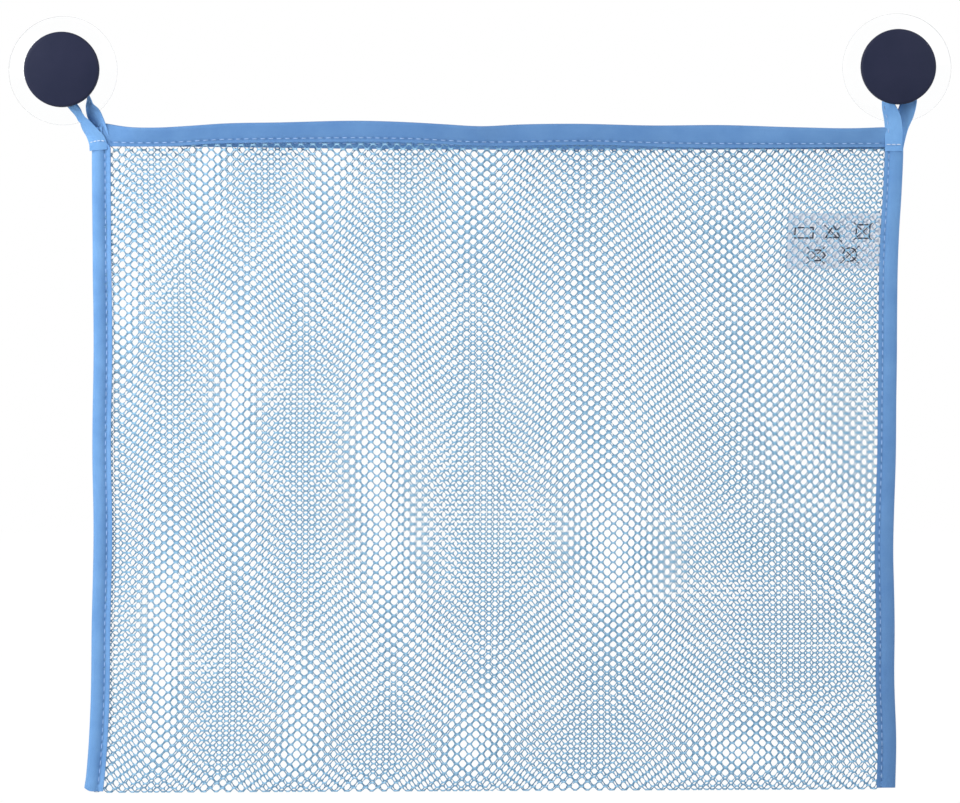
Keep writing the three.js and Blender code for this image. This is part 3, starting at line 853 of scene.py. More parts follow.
KINDS = {"left": "side", "right": "side", "front": "mouth", "back": "mouth"}
FOLD_HALF = {"side": 1.15 * MM, "mouth": 0.95 * MM}  # half the depth of the tape's fold
SIDE_END = BOTTOM_Z + 0.4 * MM  # lower end of the sides' tape
SIDE_LENGTH = HEIGHT - 1.2 * MM
SIDE_STEPS = (26, 420)
SIDE_SEEDS = {"left": 2.4, "right": 6.1}
SIDE_SWAY, SIDE_WOBBLE = 0.15 * MM, 0.7 * MM  # how far the sides stray across and in depth
SIDE_PUCKER, MOUTH_PUCKER = 0.5 * MM, 0.36 * MM  # how far the tape puckers
PILLOW = {"left": 0.9 * MM, "right": 0.6 * MM}  # how far the tape bulges between its fold and its stitches
MOUTH_PILLOW = 0.3 * MM
TOP_SWELL = 0.7 * MM  # how much thicker the sides are where the loops are sewn in
SWELL_RUN, SWELL_RUNS = 5 * MM, 3.4  # length it grows over, and how many lengths below the mouth it starts
LIP = {"left": 0.6 * MM, "right": 0}  # how far the tape's edge stands up beside its stitches
CURL = {"left": 0, "right": 1.8 * MM}  # how far the fold curls back at the bottom
CUT_BACK = {"left": 2 * MM, "right": 0}  # how far the tape's lower end slants up to its fold
CUT_WIDTH, CUT_HEIGHT = 4 * MM, 8 * MM  # how far that slant reaches in from the fold and up
NARROWING = {"left": 0.45, "right": 0.28}  # how much narrower the tape is at its upper end
NARROW_RUN, NARROW_RUNS = 6 * MM, 2  # the same for where the tape narrows
MOUTH_TUCK = {"left": 5 * MM, "right": 2.5 * MM}  # how far the mouth's tape reaches behind the sides'
MOUTH_DROP = {"front": 0, "back": 0.7 * MM}  # how much lower an edge of the mouth lies
MOUTH_STEPS, MOUTH_STEP = 30, 0.95 * MM  # steps across the mouth's tape, and the length of one along it
VALLEY = {"left": 0.55 * MM, "right": 0.2 * MM, "front": 0.2 * MM, "back": 0.2 * MM}  # drawn in by stitches
VALLEY_WIDTH = {"side": 1.3 * MM, "mouth": MM}  # how far that reaches to each side of the stitches
NEEDLE_PULL = 0.35 * MM  # how much further the tape is drawn in at the needle holes
NEEDLE_PAINTED_SHADE = {"side": 0.65, "mouth": 0.5}  # how much painted shade the needle holes' dents get
TAPE_PAINTED_SHADE = {"left": 0.22, "right": 0.26, "front": 0.42, "back": 0.2}  # painted shade on each binding's tape
LOW_PAINTED_SHADE = {"left": 0.06, "right": 0.36}  # how much more painted shade the sides get towards the bottom
MIDDLE_PAINTED_SHADE = {"front": 0.15, "back": 0}  # how much more painted shade the mouth gets at its middle
MOUTH_END = 210 * MM  # from the middle of the mouth to its ends
STITCH_IN = {"left": 3.0 * MM, "right": 2.3 * MM, "front": 2.2 * MM, "back": 2.6 * MM}  # from its edge


def tape_width(part):
    """Folded width of a binding."""
    own = sizes()
    return {"front": own.front_tape, "back": own.back_tape}.get(part, own.side_tape)


def stitch_line(part):
    """How far in from a binding's fold its stitches run."""
    return tape_width(part) - STITCH_IN[part]


def side_point(side, along, inward, depth):
    """Points of a side binding: distances up from its lower end and in from its fold, and depths."""
    z = SIDE_END + along
    width, line, seed = tape_width(side), stitch_line(side), SIDE_SEEDS[side]
    before_line = np.clip(inward / line, 0, 1)
    pillow = PILLOW[side] * np.sin(before_line * math.pi)
    pillow = pillow + LIP[side] * np.clip(inward / line - 1, 0, 1) / (width / line - 1)
    pillow = pillow + TOP_SWELL * np.clip((z - MOUTH_Z) / SWELL_RUN + SWELL_RUNS, 0, 1)
    pillow = pillow + SIDE_PUCKER * ripple(z, 0.4 * inward, 0.011, seed + 5) * before_line
    wobble = SIDE_WOBBLE * ripple(z, 0, 0.08, seed + 11) * (1 - drop(z) ** 8)
    curl = CURL[side] * (1 - inward / width) * np.sqrt(drop(z))
    cut_back = np.clip(1 - inward / CUT_WIDTH, 0, 1) ** 2 * np.clip(1 - (z - BOTTOM_Z) / CUT_HEIGHT, 0, 1)
    settle = BOTTOM_RISE[side] * drop(z) ** 3 + CUT_BACK[side] * cut_back
    narrowed = 1 - NARROWING[side] * np.clip((z - MOUTH_Z) / NARROW_RUN + NARROW_RUNS, 0, 1)
    inwards = 1 if side == "left" else -1
    x = edge(side, z) + SIDE_SWAY * ripple(z, 0, 0.03, seed) + inwards * inward * narrowed
    return points_at(x, depth + wobble - curl + np.sign(depth) * pillow, z + settle)


def mouth_point(layer, x, inward, depth):
    """Points of a mouth binding: places along the mouth, distances down from its edge, and depths."""
    down = inward / tape_width(layer)
    rise = MOUTH_RISE(x) - MOUTH_DROP[layer]
    z = MOUTH_Z + rise * (1 - down) - HEMS[layer](x) * down
    pillow = MOUTH_PILLOW * np.sin(np.clip(down, 0, 1) * math.pi)
    pillow = pillow + MOUTH_PUCKER * ripple(x, 0.7 * inward, 0.014, 4.6) * np.clip(2 * down, 0, 1)
    middle = net_depth(layer, x, z) + mouth_lean(layer, x, down)
    return points_at(x, middle + (depth + np.sign(depth) * pillow) * (0.8 + 0.2 * off_ends(x)), z)


EDGE_POINTS = {"side": side_point, "mouth": mouth_point}


def extra_painted_shade(part, along):
    """How much more painted shade a binding has at the sides' bottom or the mouth's middle."""
    if KINDS[part] == "side":
        return LOW_PAINTED_SHADE[part] * (1 - along / SIDE_LENGTH)
    return MIDDLE_PAINTED_SHADE[part] * (1 - (along / MOUTH_END) ** 2)


def bind(name, part, start, length, steps, body):
    """Tape folded round an edge of the bag, or round a length of it, and sewn through."""
    own = sizes()
    kind = KINDS[part]
    half, line = FOLD_HALF[kind], stitch_line(part)

    def sewn(across, along):
        return needle_dents(start + along, folded(across, half)[0] - line, own.stitch_pitch)

    def lay(across, along):
        inward, depth, facing = folded(across, half)
        valley = VALLEY[part] * np.exp(-(((inward - line) / VALLEY_WIDTH[kind]) ** 2))
        drawn = NEEDLE_PULL * sewn(across, along) + valley
        return EDGE_POINTS[kind](part, start + along, inward, depth - facing * drawn)

    # Painted shade for each point of the tape: set per binding, more at the sides' bottom, the mouth's middle
    # and the needle holes' dents
    def painted_shade_at(across, along):
        return TAPE_PAINTED_SHADE[part] + extra_painted_shade(part, start + along) + NEEDLE_PAINTED_SHADE[kind] * sewn(across, along)

    cut = (folded_cut(tape_width(part), half), length)
    strip = cloth_strip(name, cut, steps, lay, own.tape, ("depth", painted_shade_at), start)
    hand_over(strip, "Blue Woven Tape", body, (f"{part}_{kind}_binding",))


def mouth_ends():
    """Where a mouth binding starts and ends along the bag, tucked behind the side bindings."""
    width = sizes().side_tape
    return LEFT_X + width - MOUTH_TUCK["left"], RIGHT_X - width + MOUTH_TUCK["right"]


def mouth_lengths(start, left_end, right_start, end):
    """The lengths of tape or thread on the mouth: layer, end of the name, start, end and body."""
    return (
        ("front", "front_left", start, left_end, front_body("left")),
        ("front", "front_right", right_start, end, front_body("right")),
        ("back", "back", start, end, "bag"),
    )


def make_bindings():
    """All the tape that binds the bag's edges."""
    for side in SIDES:
        bind(f"side_binding_{side}", side, 0.0, SIDE_LENGTH, SIDE_STEPS, "bag")
    start, end = mouth_ends()
    middle = (start + end) / 2
    for layer, name, left, right, body in mouth_lengths(start, middle, middle, end):
        steps = (MOUTH_STEPS, int((right - left) / MOUTH_STEP))
        bind(f"mouth_binding_{name}", layer, left, right - left, steps, body)


# Loops

# Route of each loop: place across, height and depth from the wall in millimetres, turn and fold in degrees.
# A turn of 0 faces the viewer with the tape's front, 90 lies round the neck and 180 faces with its back.
# A fold of 0 is flat tape and one of 180 is tape folded in two along its length.
LOOP_STARTS = {
    "left": ((-209.8, -44.9, 15.3, 0, 0), (-210.2, -40.8, 15.5, 0, 12), (-212.9, -36.2, 15.9, 4, 48),
             (-216.7, -31.2, 16.1, 8, 64), (-218.6, -28.2, 16.0, 10, 85), (-220.3, -25.6, 15.8, 14, 120),
             (-224.6, -20.6, 15.0, 22, 145)),
    "right": ((227.4, -45.4, 15.3, 0, 0), (227.4, -40.0, 15.4, 0, 0), (227.4, -33.0, 15.6, 4, 0),
              (226.8, -27.5, 15.4, 18, 0), (224.6, -20.4, 14.5, 45, 0)),
}
LOOP_ENDS = {
    "left": ((-215.1, -17.0, 12.6, 104, 0), (-214.7, -20.4, 12.4, 118, 0), (-212.6, -24.8, 12.4, 143, 0),
             (-210.2, -29.7, 12.8, 140, 0), (-209.2, -34.4, 13.4, 155, 0), (-208.9, -39.0, 14.2, 175, 0),
             (-209.2, -43.4, 14.6, 180, 0)),
    "right": ((236.2, -16.6, 12.8, 146, 0), (234.2, -24.2, 12.9, 163, 0), (231.0, -31.4, 13.5, 174, 0),
              (229.0, -38.6, 14.4, 180, 0), (227.9, -43.6, 14.6, 180, 0)),
}
LOOP_PAINTED_SHADE = {"left": 0.1, "right": 0.0}  # painted shade on each loop's tape
CREASE = 0.5 * MM  # from a loop's middle line to the line that it folds on
NECK_REACH = 5.65 * MM  # from a cup's axis to the tape round its neck
NECK_DEPTH = 13.1 * MM  # from the wall to that tape's middle
LOOP_HOLLOW = 0.35 * MM  # how far the tape is hollow across
LOOP_CREASES = 0.25 * MM
LOOP_SEEDS = {"left": 3.3, "right": 7.9}
LOOP_STEPS = (10, 220)


def loop_route(side):
    """Points along a loop from its front end over the neck to its back end, with the tape's turn and fold."""
    foot_x = LOOP_STARTS[side][0][0] * MM
    cup = CUPS[side]
    up = np.array([cup.x - foot_x, cup.z - MOUTH_Z])
    up = up / np.linalg.norm(up)
    level = np.array([up[1], -up[0]])
    to_metres = np.array([MM, MM, MM, 1, 1])
    rows = [row * to_metres for row in np.array(LOOP_STARTS[side])]
    for angle in np.linspace(math.pi, 0, 7):
        spot = np.array([cup.x, cup.z]) + NECK_REACH * (math.cos(angle) * level + math.sin(angle) * up)
        rows.append((*spot, NECK_DEPTH, 90, 0))
    rows += [row * to_metres for row in np.array(LOOP_ENDS[side])]
    rows = np.array(rows)
    steps = np.r_[0, np.cumsum(np.linalg.norm(np.diff(rows[:, :3], axis=0), axis=1))]
    curves = [curve_through(np.stack([steps, column], axis=-1)) for column in rows.T]
    fine = np.linspace(0, steps[-1], 1200)
    dense = np.stack([curve(fine) for curve in curves], axis=-1)
    length = np.r_[0, np.cumsum(np.linalg.norm(np.diff(dense[:, :3], axis=0), axis=1))]
    return length, dense


def loop_frame(side, along):
    """Points, width directions and outward directions of a loop's tape at distances along it."""
    length, dense = loop_route(side)
    x, z, depth, turn, fold = (np.interp(along, length, column) for column in dense.T)
    dx, dz = (np.interp(along, length, np.gradient(column, length)) for column in dense.T[:2])
    flat = np.maximum(np.hypot(dx, dz), 1e-9)
    ahead = np.stack([dz / flat, np.zeros_like(dx), -dx / flat], axis=-1)
    turn = np.radians(turn)[:, None]
    width = np.cos(turn) * ahead + np.sin(turn) * np.array([0, -1, 0])
    out = np.sin(turn) * -ahead + np.cos(turn) * np.array([0, -1, 0])
    return np.stack([x, -depth, z], axis=-1), width, out, np.radians(np.clip(fold, 0, 180))


def loop_point(side, along, across, lift=0.0):
    """Points of a loop's tape, and its outward directions, with the far part folded behind the near one."""
    place, width, out, fold = loop_frame(side, along)
    past = np.maximum(CREASE - across, 0)
    hidden = 1 - np.maximum(np.cos(fold), 0)
    level = np.maximum(across, CREASE) - past * np.cos(fold) - (sizes().loop_tape / 4 + CREASE / 2) * hidden
    return place + width * level[:, None] + out * (lift - past * np.sin(fold))[:, None], out


def loop_body(side):
    """A loop's blend: with the cup above the bag's corner, with the bag below it."""
    x = LOOP_STARTS[side][0][0] * MM
    high, low = LOOP_BENDS
    return ("cups_on_wall", "bag", (x, BAG_Y, high), (x, BAG_Y, low))


def make_loops():
    """The two hanging loops, each one length of tape."""
    own = sizes()
    for side in SIDES:
        def lay(across, along, side=side):
            hollow = LOOP_HOLLOW * (1 - (2 * across / own.loop_tape) ** 2)
            creased = LOOP_CREASES * ripple(along, across, 0.012, LOOP_SEEDS[side])
            return loop_point(side, along, across, hollow + creased)[0]

        # Painted shade on a loop, even along its length
        def painted_shade_at(across, along, side=side):
            return np.full_like(across, LOOP_PAINTED_SHADE[side])

        cut = (own.loop_tape, loop_route(side)[0][-1])
        strip = cloth_strip(f"loop_{side}", cut, LOOP_STEPS, lay, own.tape, ("depth", painted_shade_at))
        hand_over(strip, "Blue Woven Tape", loop_body(side), (f"{side}_loop", f"{side}_loop_end"))


# Thread

TACK_THREAD = 1.35  # thickness of the loops' thread as a share of the bindings'
STITCH_FLAT = 0.8  # a stitch's height as a share of its width
STITCH_ARCH = 0.12 * MM
THREAD_SEAT = 0.02 * MM  # how far the stitches' middles stand off the tape
SIDE_SEWN = (3 * MM, HEIGHT - 15 * MM)  # where a side's stitches start and end along it
MOUTH_SEWN = (5.5 * MM, 3 * MM)  # how far the mouth's stitches stop short of its tape's ends
PAST_HOLE = 0.1 * MM
TACKS = {"left": (5.2 * MM, -2.9 * MM, 4), "right": (3.6 * MM, 0.0, 3)}  # place along, slant, stitches
TACK_REACH = 0.43  # half the width of a tack as a share of the tape's
TACK_GAP = 0.25 * MM
TACK_LIFT, ROW_LIFT = 0.5 * MM, 0.28 * MM  # how far the loops' stitches stand off the tape
LOOP_ROW = (8 * MM, 27 * MM)  # where the row along the right loop starts and ends
LOOP_ROW_IN = 1.9 * MM


def stitch_shape():
    """One stitch a metre long along X: points and faces."""
    start_afresh()
    bpy.ops.mesh.primitive_uv_sphere_add(segments=8, ring_count=6, radius=0.5)
    stitch = named("one_stitch")
    with editing():
        bpy.ops.transform.rotate(
            value=math.pi / 2, orient_axis="Y", orient_type="GLOBAL", center_override=(0, 0, 0),
        )
    points = corners(stitch)
    points[:, 0] = np.sign(points[:, 0]) * np.sqrt(np.abs(points[:, 0]) / 2)
    faces = [tuple(face.vertices) for face in stitch.data.polygons]
    bpy.data.objects.remove(stitch)
    return points, faces


def sew(name, stitches, body, stands_for, tack=False):
    """A piece of single stitches. Each runs from one point to another and stands off along a direction."""
    unit, faces = stitch_shape()
    thread = sizes().thread * (TACK_THREAD if tack else 1)
    points, all_faces = [], []
    for start, end, out in stitches:
        start, end, out = (np.asarray(part, float) for part in (start, end, out))
        along = end - start
        length = np.linalg.norm(along)
        along /= length
        out = out - along * out.dot(along)
        out /= np.linalg.norm(out)
        side = np.cross(out, along)
        first = len(points) * len(unit)
        arch = STITCH_ARCH * (1 - (2 * unit[:, :1]) ** 2)
        points.append(
            (start + end) / 2 + unit[:, :1] * along * length + unit[:, 1:2] * side * thread
            + (unit[:, 2:] * STITCH_FLAT * thread + arch) * out
        )
        all_faces += [tuple(first + corner for corner in face) for face in faces]
    start_afresh()
    mesh = bpy.data.meshes.new(name)
    mesh.from_pydata(np.concatenate(points).tolist(), [], all_faces)
    mesh.update()
    piece = bpy.data.objects.new(name, mesh)
    bpy.context.collection.objects.link(piece)
    smooth(piece, 180)
    hand_over(piece, "White Tack Thread" if tack else "Pale Thread", body, stands_for)


def run_of_stitches(start, end, surface):
    """Stitches on a surface from one place along it to another. surface gives points and directions."""
    own = sizes()
    first, last = math.ceil(start / own.stitch_pitch), math.floor(end / own.stitch_pitch)
    holes = np.arange(first, last + 1) * own.stitch_pitch
    gap = (own.stitch_pitch - own.stitch_length) / 2
    starts, outs = surface(holes[:-1] + gap)
    ends, _ = surface(holes[1:] - gap)
    return list(zip(starts, ends, outs))


def sew_edge(name, part, start, end, body):
    """Stitches along both faces of a binding, or of a length of it."""
    kind = KINDS[part]
    line = stitch_line(part)
    stitches = []
    for facing in (1, -1):
        lift = facing * (FOLD_HALF[kind] + sizes().tape / 2 + THREAD_SEAT)

        def surface(along, facing=facing, lift=lift):
            return EDGE_POINTS[kind](part, along, line, lift), np.tile((0.0, -facing, 0.0), (len(along), 1))

        stitches += run_of_stitches(start, end, surface)
    sew(name, stitches, body, (f"{part}_{kind}_stitching",))


def sew_tack(side):
    """The bar of stitches that holds a loop's ends, and the row that shows along the right loop."""
    own = sizes()
    along, slant, count = TACKS[side]
    edges = np.linspace(-TACK_REACH, TACK_REACH, count + 1) * own.loop_tape
    bars = []
    for across in zip(edges[:-1] + TACK_GAP, edges[1:] - TACK_GAP):
        across = np.array(across)
        spots = along + slant * across / own.loop_tape
        points, out = loop_point(side, spots, across, own.tape / 2 + TACK_LIFT)
        bars.append((*points, out[1]))
    sew(f"loop_tack_{side}", bars, "bag", (f"{side}_loop_tack",), tack=True)

    if side == "left":
        return
    inner = LOOP_ROW_IN - own.loop_tape / 2

    def surface(distance):
        return loop_point(side, distance, np.full_like(distance, inner), own.tape / 2 + ROW_LIFT)

    sew(f"loop_stitching_{side}", run_of_stitches(*LOOP_ROW, surface), loop_body(side), ())


def make_stitching():
    """All the sewing thread that shows."""
    for side in SIDES:
        sew_edge(f"side_stitching_{side}", side, *SIDE_SEWN, "bag")
        sew_tack(side)
    start, end = mouth_ends()
    start, end = start + MOUTH_SEWN[0], end - MOUTH_SEWN[1]
    pitch = sizes().stitch_pitch
    hole = round((start + end) / 2 / pitch) * pitch
    for layer, name, left, right, body in mouth_lengths(start, hole + PAST_HOLE, hole - PAST_HOLE, end):
        sew_edge(f"mouth_stitching_{name}", layer, left, right, body)


# Label

LABEL_CUT = (56 * MM, 31 * MM)
LABEL_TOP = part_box("care_label")[1].z
LABEL_TUCK = 5 * MM
LABEL_HELD = 8 * MM  # how far out of the seam the label is still partly held
LABEL_THICKNESS = 0.25 * MM
LABEL_WAVE, LABEL_CURL = 0.9 * MM, 1.1 * MM  # how far the label waves, and how far its free end curls
PRINT_WIDTH, PRINT_THICKNESS = 0.8 * MM, 0.05 * MM
PRINT_LIFT = 0.17 * MM  # from the label's middle to the print's
CROSS_LEAN = 0.75  # angle of a cross's bars
CROSS_WIDTH = 0.7  # their width as a share of the outlines'
# Plain outlines printed on the label: corners, radius in millimetres, flattening, turn in degrees,
# place from the seam and from the label's top in millimetres, and half the length of the cross over each
LABEL_OUTLINES = (
    (4, 7.6, 0.6, 45, 47, 10.9, 0), (3, 5.4, 0.95, 0, 31, 11.3, 6.9), (4, 5.8, 1, 45, 14.6, 10.2, 7),
    (6, 5.8, 0.66, 30, 40.1, 23.3, 6.9), (28, 4.1, 1, 0, 21.4, 22.9, 7),
)


def label_point(out, down, lift=0.0):
    """A point of the label: distance out of the seam, distance down from its top, height off its face."""
    z = LABEL_TOP - down
    curl = LABEL_WAVE * ripple(out, down, 0.03, 5.5) + LABEL_CURL * np.clip(out / LABEL_CUT[0], 0, 1) ** 2
    free = np.clip((out - LABEL_TUCK) / LABEL_HELD, 0, 1)
    return points_at(edge("right", z) - LABEL_TUCK - out + 0 * down, curl * free + lift, z)


def printed_outline(name, sides, radius, squash, turn, cross):
    """A flat outline, such as a square or a ring, as a thin frame, with or without a cross over it."""
    start_afresh()
    bpy.ops.mesh.primitive_circle_add(vertices=sides, radius=radius, fill_type="NGON", rotation=(0, 0, turn))
    mark = named(name)
    bpy.ops.object.transform_apply(location=True, rotation=True, scale=True)
    with editing():
        bpy.ops.transform.resize(value=(1, squash, 1), center_override=(0, 0, 0))
        bpy.ops.mesh.inset(thickness=PRINT_WIDTH, depth=0)
        bpy.ops.mesh.delete(type="FACE")
        for lean in (CROSS_LEAN, -CROSS_LEAN) if cross else ():
            bpy.ops.mesh.primitive_plane_add(size=1)
            bar = (2 * cross, CROSS_WIDTH * PRINT_WIDTH, 1)
            bpy.ops.transform.resize(value=bar, center_override=(0, 0, 0))
            bpy.ops.transform.rotate(
                value=lean, orient_axis="Z", orient_type="GLOBAL", center_override=(0, 0, 0),
            )
    return mark


def make_label():
    """The satin label in the right seam with a row of plain printed outlines."""
    strip = cloth_strip(
        "care_label_ribbon", LABEL_CUT, (56, 31),
        lambda across, along: label_point(across + LABEL_CUT[0] / 2, along), LABEL_THICKNESS,
    )
    hand_over(strip, "White Satin", "bag", ("care_label",))
    for i, (count, radius, squash, turn, spot, row, cross) in enumerate(LABEL_OUTLINES):
        mark = printed_outline(
            f"label_outline_{i + 1}", count, radius * MM, squash, math.radians(turn), cross * MM,
        )
        with editing():
            bpy.ops.mesh.subdivide(number_cuts=3)
        flat = corners(mark)
        move_corners(mark, label_point(spot * MM - flat[:, 0], row * MM - flat[:, 1], PRINT_LIFT))
        finish_with(mark, "SOLIDIFY", thickness=PRINT_THICKNESS, offset=0)
        smooth(mark)
        hand_over(mark, "Label Print", "bag")


# Cups and caps. Lengths are in millimetres and depths are from the wall.

SPIN_STEPS = 128
CUP_RADIUS, HOLLOW_RADIUS = 30, 27
RIM_THICKNESS, DISH_RISE, HOLLOW_RISE = 1, 7, 5.8


def arc(centre, radius, start, end, count):
    """Points of a profile on an arc, in degrees."""
    return [
        (centre[0] + radius * math.cos(math.radians(a)), centre[1] + radius * math.sin(math.radians(a)))
        for a in np.linspace(start, end, count)
    ]


def turned(name, profile, centre):
    """A piece spun about a cup's axis from (radius, depth) points in millimetres."""
    start_afresh()
    bpy.ops.mesh.primitive_plane_add(size=MM)
    piece = named(name)
    places = [(centre.x + r * MM, -depth * MM, centre.z) for r, depth in profile]
    with editing():
        bpy.ops.mesh.merge(type="CENTER")
        bpy.ops.transform.translate(value=places[0])
        for before, after in zip(places[:-1], places[1:]):
            bpy.ops.mesh.extrude_region_move(
                TRANSFORM_OT_translate={"value": tuple(b - a for a, b in zip(before, after))},
            )
        bpy.ops.mesh.select_all(action="SELECT")
        middle = (centre.x, 0, centre.z)
        bpy.ops.mesh.spin(steps=SPIN_STEPS, angle=2 * math.pi, center=middle, axis=(0, 1, 0))
        bpy.ops.mesh.select_all(action="SELECT")
        bpy.ops.mesh.remove_doubles(threshold=0.001 * MM)
        bpy.ops.mesh.normals_make_consistent(inside=False)
    smooth(piece, 50)
    return piece


def make_cups():
    """The clear suction cups: dish, flat rim, neck and head."""
    def outside(r):
        return RIM_THICKNESS + DISH_RISE * (1 - (r / CUP_RADIUS) ** 2)

    def inside(r):
        return HOLLOW_RISE * (1 - (r / HOLLOW_RADIUS) ** 2)

    profile = [(r, inside(r)) for r in np.linspace(0, HOLLOW_RADIUS, 15)]
    profile += [(29.7, 0), *arc((29.5, 0.5), 0.5, -60, 60, 5)]
    profile += [(r, outside(r)) for r in np.linspace(29.2, 6.6, 15)]
    profile += arc((6.5, outside(6.5) + 1.5), 1.5, 270, 180, 5)
    profile += [(5, 18.2), (6.0, 19.2), (6.2, 19.5), (6.2, 23.2)]
    profile += arc((5.4, 23.4), 0.8, 0, 90, 5)
    profile += [(0, 24.2)]
    for side in SIDES:
        cup = turned(f"cup_{side}", profile, CUPS[side])
        hand_over(cup, "Clear Soft Plastic", "cups_on_wall", (f"{side}_suction_cup",))


def make_caps():
    """The navy caps: a gently domed front, a rounded edge, a thin skirt and a boss that grips the head."""
    radius, edge_radius, front, dome = 20.7, 1.6, 26.3, 1.4
    rim = radius - edge_radius
    profile = [(0, 24.5), (6.2, 24.5), (6.5, 24.2), (6.5, 19.0), (6.9, 18.5), (8.6, 18.5), (8.9, 18.8)]
    profile += [(8.9, 24.2), (9.2, 24.5), (18.6, 24.5), (18.9, 24.2), (18.9, 18.4), (19.1, 18.2)]
    profile += [(20.4, 18.2), (20.7, 18.5)]
    profile += arc((rim, front - edge_radius), edge_radius, 0, 78, 10)
    profile += [(r, front + dome * (1 - (r / rim) ** 2)) for r in np.linspace(rim - 0.6, 0, 18)]
    for side in SIDES:
        cap = turned(f"cap_{side}", profile, CUPS[side])
        hand_over(cap, "Navy Moulded Plastic", f"{side}_cover", (f"{side}_cap",))


# Stage

FLOOR_SIZE = 40.0
FLOOR_DROP = 0.1  # from the bag's bottom down to the floor
FLOOR_GLOW = 1.1
FLOOR_HIDDEN = 0.88  # how far the floor goes over to plain white where it is seen
KEY_PLACE, KEY_SIZE = (-0.88, -0.54, 0.24), 0.7
FILL_PLACE, FILL_SIZE = (0.74, -0.62, 0.42), 0.8
SENSOR = 36  # width of the camera's sensor in millimetres


def background_rays(tree, place):
    """1 on rays that should see the plain white background."""
    rays = node(tree, "ShaderNodeLightPath", place)
    seen = math_node(
        tree, "MAXIMUM", (place[0] + 200, place[1]),
        rays.outputs["Is Camera Ray"], rays.outputs["Is Glossy Ray"],
    )
    return math_node(tree, "MAXIMUM", (place[0] + 400, place[1]), seen, rays.outputs["Is Transmission Ray"])


def make_stage():
    """White surroundings, a pale floor, two soft lights and the camera."""
    own = bpy.context.scene.organizer_stage
    scene = bpy.context.scene
    scene.view_settings.view_transform = "Standard"

    world = bpy.data.worlds.new("White room")
    scene.world = world
    world.use_nodes = True
    tree = world.node_tree
    tree.nodes.clear()
    inputs = {"Color": WHITE, "Strength": own.room_light}
    light = node(tree, "ShaderNodeBackground", (0, 100), None, inputs)
    white = node(tree, "ShaderNodeBackground", (0, -100), None, {"Color": WHITE, "Strength": 1.0})
    mix = node(
        tree, "ShaderNodeMixShader", (300, 0), None,
        {0: background_rays(tree, (-600, 200)), 1: light.outputs[0], 2: white.outputs[0]},
    )
    node(tree, "ShaderNodeOutputWorld", (500, 0), None, {0: mix.outputs[0]})

    start_afresh()
    bpy.ops.mesh.primitive_plane_add(size=FLOOR_SIZE, location=(0, 0, BOTTOM_Z - FLOOR_DROP))
    floor = named("pale_floor")
    material, tree, shader, _ = opened_material("Pale Floor")
    shader.inputs["Base Color"].default_value = (0.9, 0.9, 0.9, 1)
    shader.inputs["Roughness"].default_value = 0.9
    shader.inputs["Specular IOR Level"].default_value = 0.0
    glow = node(tree, "ShaderNodeEmission", (700, 300), None, {"Color": WHITE, "Strength": FLOOR_GLOW})
    share = math_node(tree, "MULTIPLY", (700, 500), background_rays(tree, (0, 500)), FLOOR_HIDDEN)
    lit = node(
        tree, "ShaderNodeMixShader", (1000, 200), None, {0: share, 1: shader.outputs[0], 2: glow.outputs[0]},
    )
    clear = node(tree, "ShaderNodeBsdfTransparent", (1000, 0))
    below = node(tree, "ShaderNodeNewGeometry", (1000, 400))
    node_out = tree.nodes["Material Output"]
    through = node(
        tree, "ShaderNodeMixShader", (1150, 100), None,
        {0: below.outputs["Backfacing"], 1: lit.outputs[0], 2: clear.outputs[0]},
    )
    tree.links.new(through.outputs[0], node_out.inputs["Surface"])
    floor.data.materials.append(material)

    aim = np.array([0.0, BAG_Y, own.view_centre])
    for name, place, size, power in (
        ("key_light", KEY_PLACE, KEY_SIZE, own.key_power),
        ("fill_light", FILL_PLACE, FILL_SIZE, own.fill_power),
    ):
        start_afresh()
        bpy.ops.object.light_add(type="AREA", location=place)
        lamp = bpy.context.object
        lamp.name = lamp.data.name = name
        lamp.data.size = size
        lamp.data.energy = power
        away = np.array(place) - aim
        flat = math.hypot(away[0], away[1])
        lamp.rotation_euler = (math.pi / 2 - math.atan2(away[2], flat), 0, math.atan2(away[0], -away[1]))

    start_afresh()
    place = (0, BAG_Y - own.camera_distance, own.view_centre)
    bpy.ops.object.camera_add(location=place, rotation=(math.pi / 2, 0, 0))
    camera = bpy.context.object
    camera.data.sensor_fit = "HORIZONTAL"
    camera.data.sensor_width = SENSOR
    camera.data.lens = SENSOR * own.camera_distance / own.view_width
    camera.data.clip_end = 50
    scene.camera = camera


# Operators, panel and registration


class ORGANIZER_OT_nets(bpy.types.Operator):
    """Models the front and back net of the bag"""

    bl_idname = "organizer.nets"
    bl_label = "Nets"

    def execute(self, context):
        make_nets()
        return {"FINISHED"}


class ORGANIZER_OT_bindings(bpy.types.Operator):
    """Models the tape that binds the bag's sides and mouth"""

    bl_idname = "organizer.bindings"
    bl_label = "Bindings"

    def execute(self, context):
        make_bindings()
        return {"FINISHED"}


class ORGANIZER_OT_loops(bpy.types.Operator):
    """Models the two hanging loops"""

    bl_idname = "organizer.loops"
    bl_label = "Hanging loops"

    def execute(self, context):
        make_loops()
        return {"FINISHED"}


class ORGANIZER_OT_stitching(bpy.types.Operator):
    """Sews the bindings and the loops"""

    bl_idname = "organizer.stitching"
    bl_label = "Stitching"

    def execute(self, context):
        make_stitching()
        return {"FINISHED"}


class ORGANIZER_OT_label(bpy.types.Operator):
    """Models the satin label in the right seam"""

    bl_idname = "organizer.label"
    bl_label = "Label"

    def execute(self, context):
        make_label()
        return {"FINISHED"}


class ORGANIZER_OT_cups(bpy.types.Operator):
    """Models the two clear suction cups"""

    bl_idname = "organizer.cups"
    bl_label = "Suction cups"

    def execute(self, context):
        make_cups()
        return {"FINISHED"}


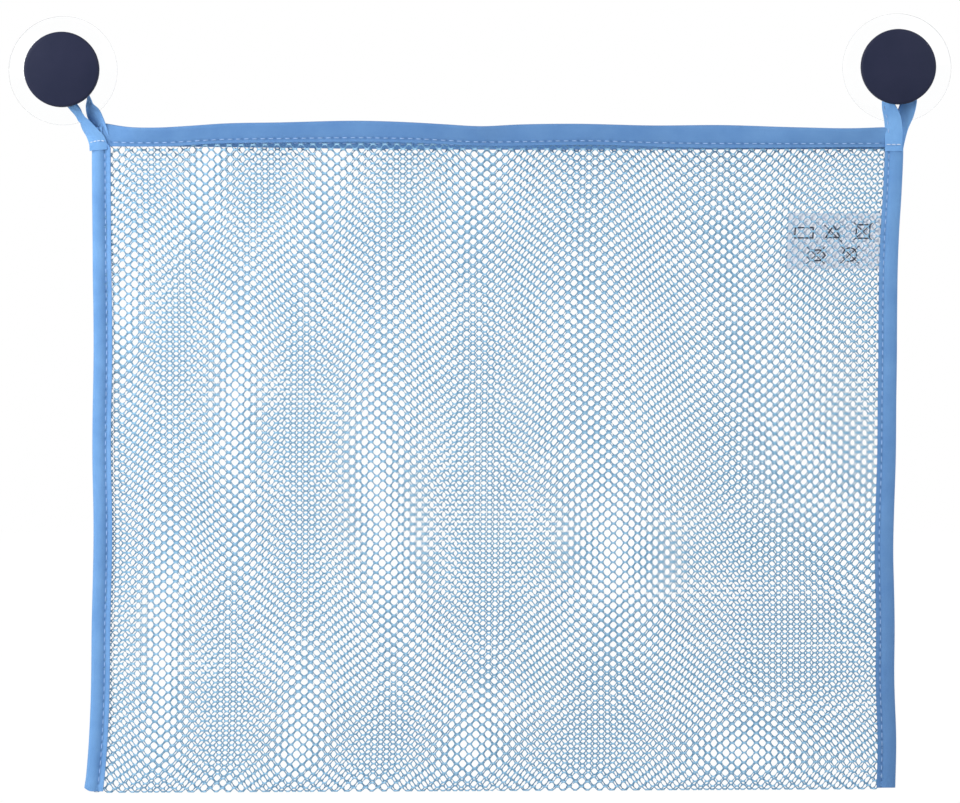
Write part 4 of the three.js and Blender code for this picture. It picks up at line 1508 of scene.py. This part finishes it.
class ORGANIZER_OT_caps(bpy.types.Operator):
    """Models the two navy caps"""

    bl_idname = "organizer.caps"
    bl_label = "Caps"

    def execute(self, context):
        make_caps()
        return {"FINISHED"}


class ORGANIZER_OT_stage(bpy.types.Operator):
    """Sets up the floor, the light and the camera"""

    bl_idname = "organizer.stage"
    bl_label = "Stage"

    def execute(self, context):
        make_stage()
        return {"FINISHED"}


OPERATORS = (
    ORGANIZER_OT_stage, ORGANIZER_OT_nets, ORGANIZER_OT_bindings, ORGANIZER_OT_loops,
    ORGANIZER_OT_stitching, ORGANIZER_OT_label, ORGANIZER_OT_cups, ORGANIZER_OT_caps,
)


class ORGANIZER_PT_sidebar(bpy.types.Panel):
    """Lists the organizer's pieces, sizes and colours"""

    bl_idname = "ORGANIZER_PT_sidebar"
    bl_label = "Bath Toy Organizer"
    bl_space_type = "VIEW_3D"
    bl_region_type = "UI"
    bl_category = "Organizer"

    def draw(self, context):
        for operator in OPERATORS:
            self.layout.operator(operator.bl_idname)
        for settings in ("organizer_sizes", "organizer_finishes", "organizer_stage"):
            group = getattr(context.scene, settings)
            column = self.layout.column()
            for name in group.__annotations__:
                column.prop(group, name)


CLASSES = (OrganizerSizes, OrganizerFinishes, OrganizerStage, *OPERATORS, ORGANIZER_PT_sidebar)


def register():
    """Adds the classes and their settings to Blender."""
    for cls in CLASSES:
        bpy.utils.register_class(cls)
    bpy.types.Scene.organizer_sizes = PointerProperty(type=OrganizerSizes)
    bpy.types.Scene.organizer_finishes = PointerProperty(type=OrganizerFinishes)
    bpy.types.Scene.organizer_stage = PointerProperty(type=OrganizerStage)


def unregister():
    """Takes the settings and the classes out again."""
    del bpy.types.Scene.organizer_stage
    del bpy.types.Scene.organizer_finishes
    del bpy.types.Scene.organizer_sizes
    for cls in reversed(CLASSES):
        bpy.utils.unregister_class(cls)


def main():
    """Models the whole organizer."""
    register()
    bpy.ops.organizer.stage()
    bpy.ops.organizer.nets()
    bpy.ops.organizer.bindings()
    bpy.ops.organizer.loops()
    bpy.ops.organizer.stitching()
    bpy.ops.organizer.label()
    bpy.ops.organizer.cups()
    bpy.ops.organizer.caps()


if __name__ == "__main__":
    main()
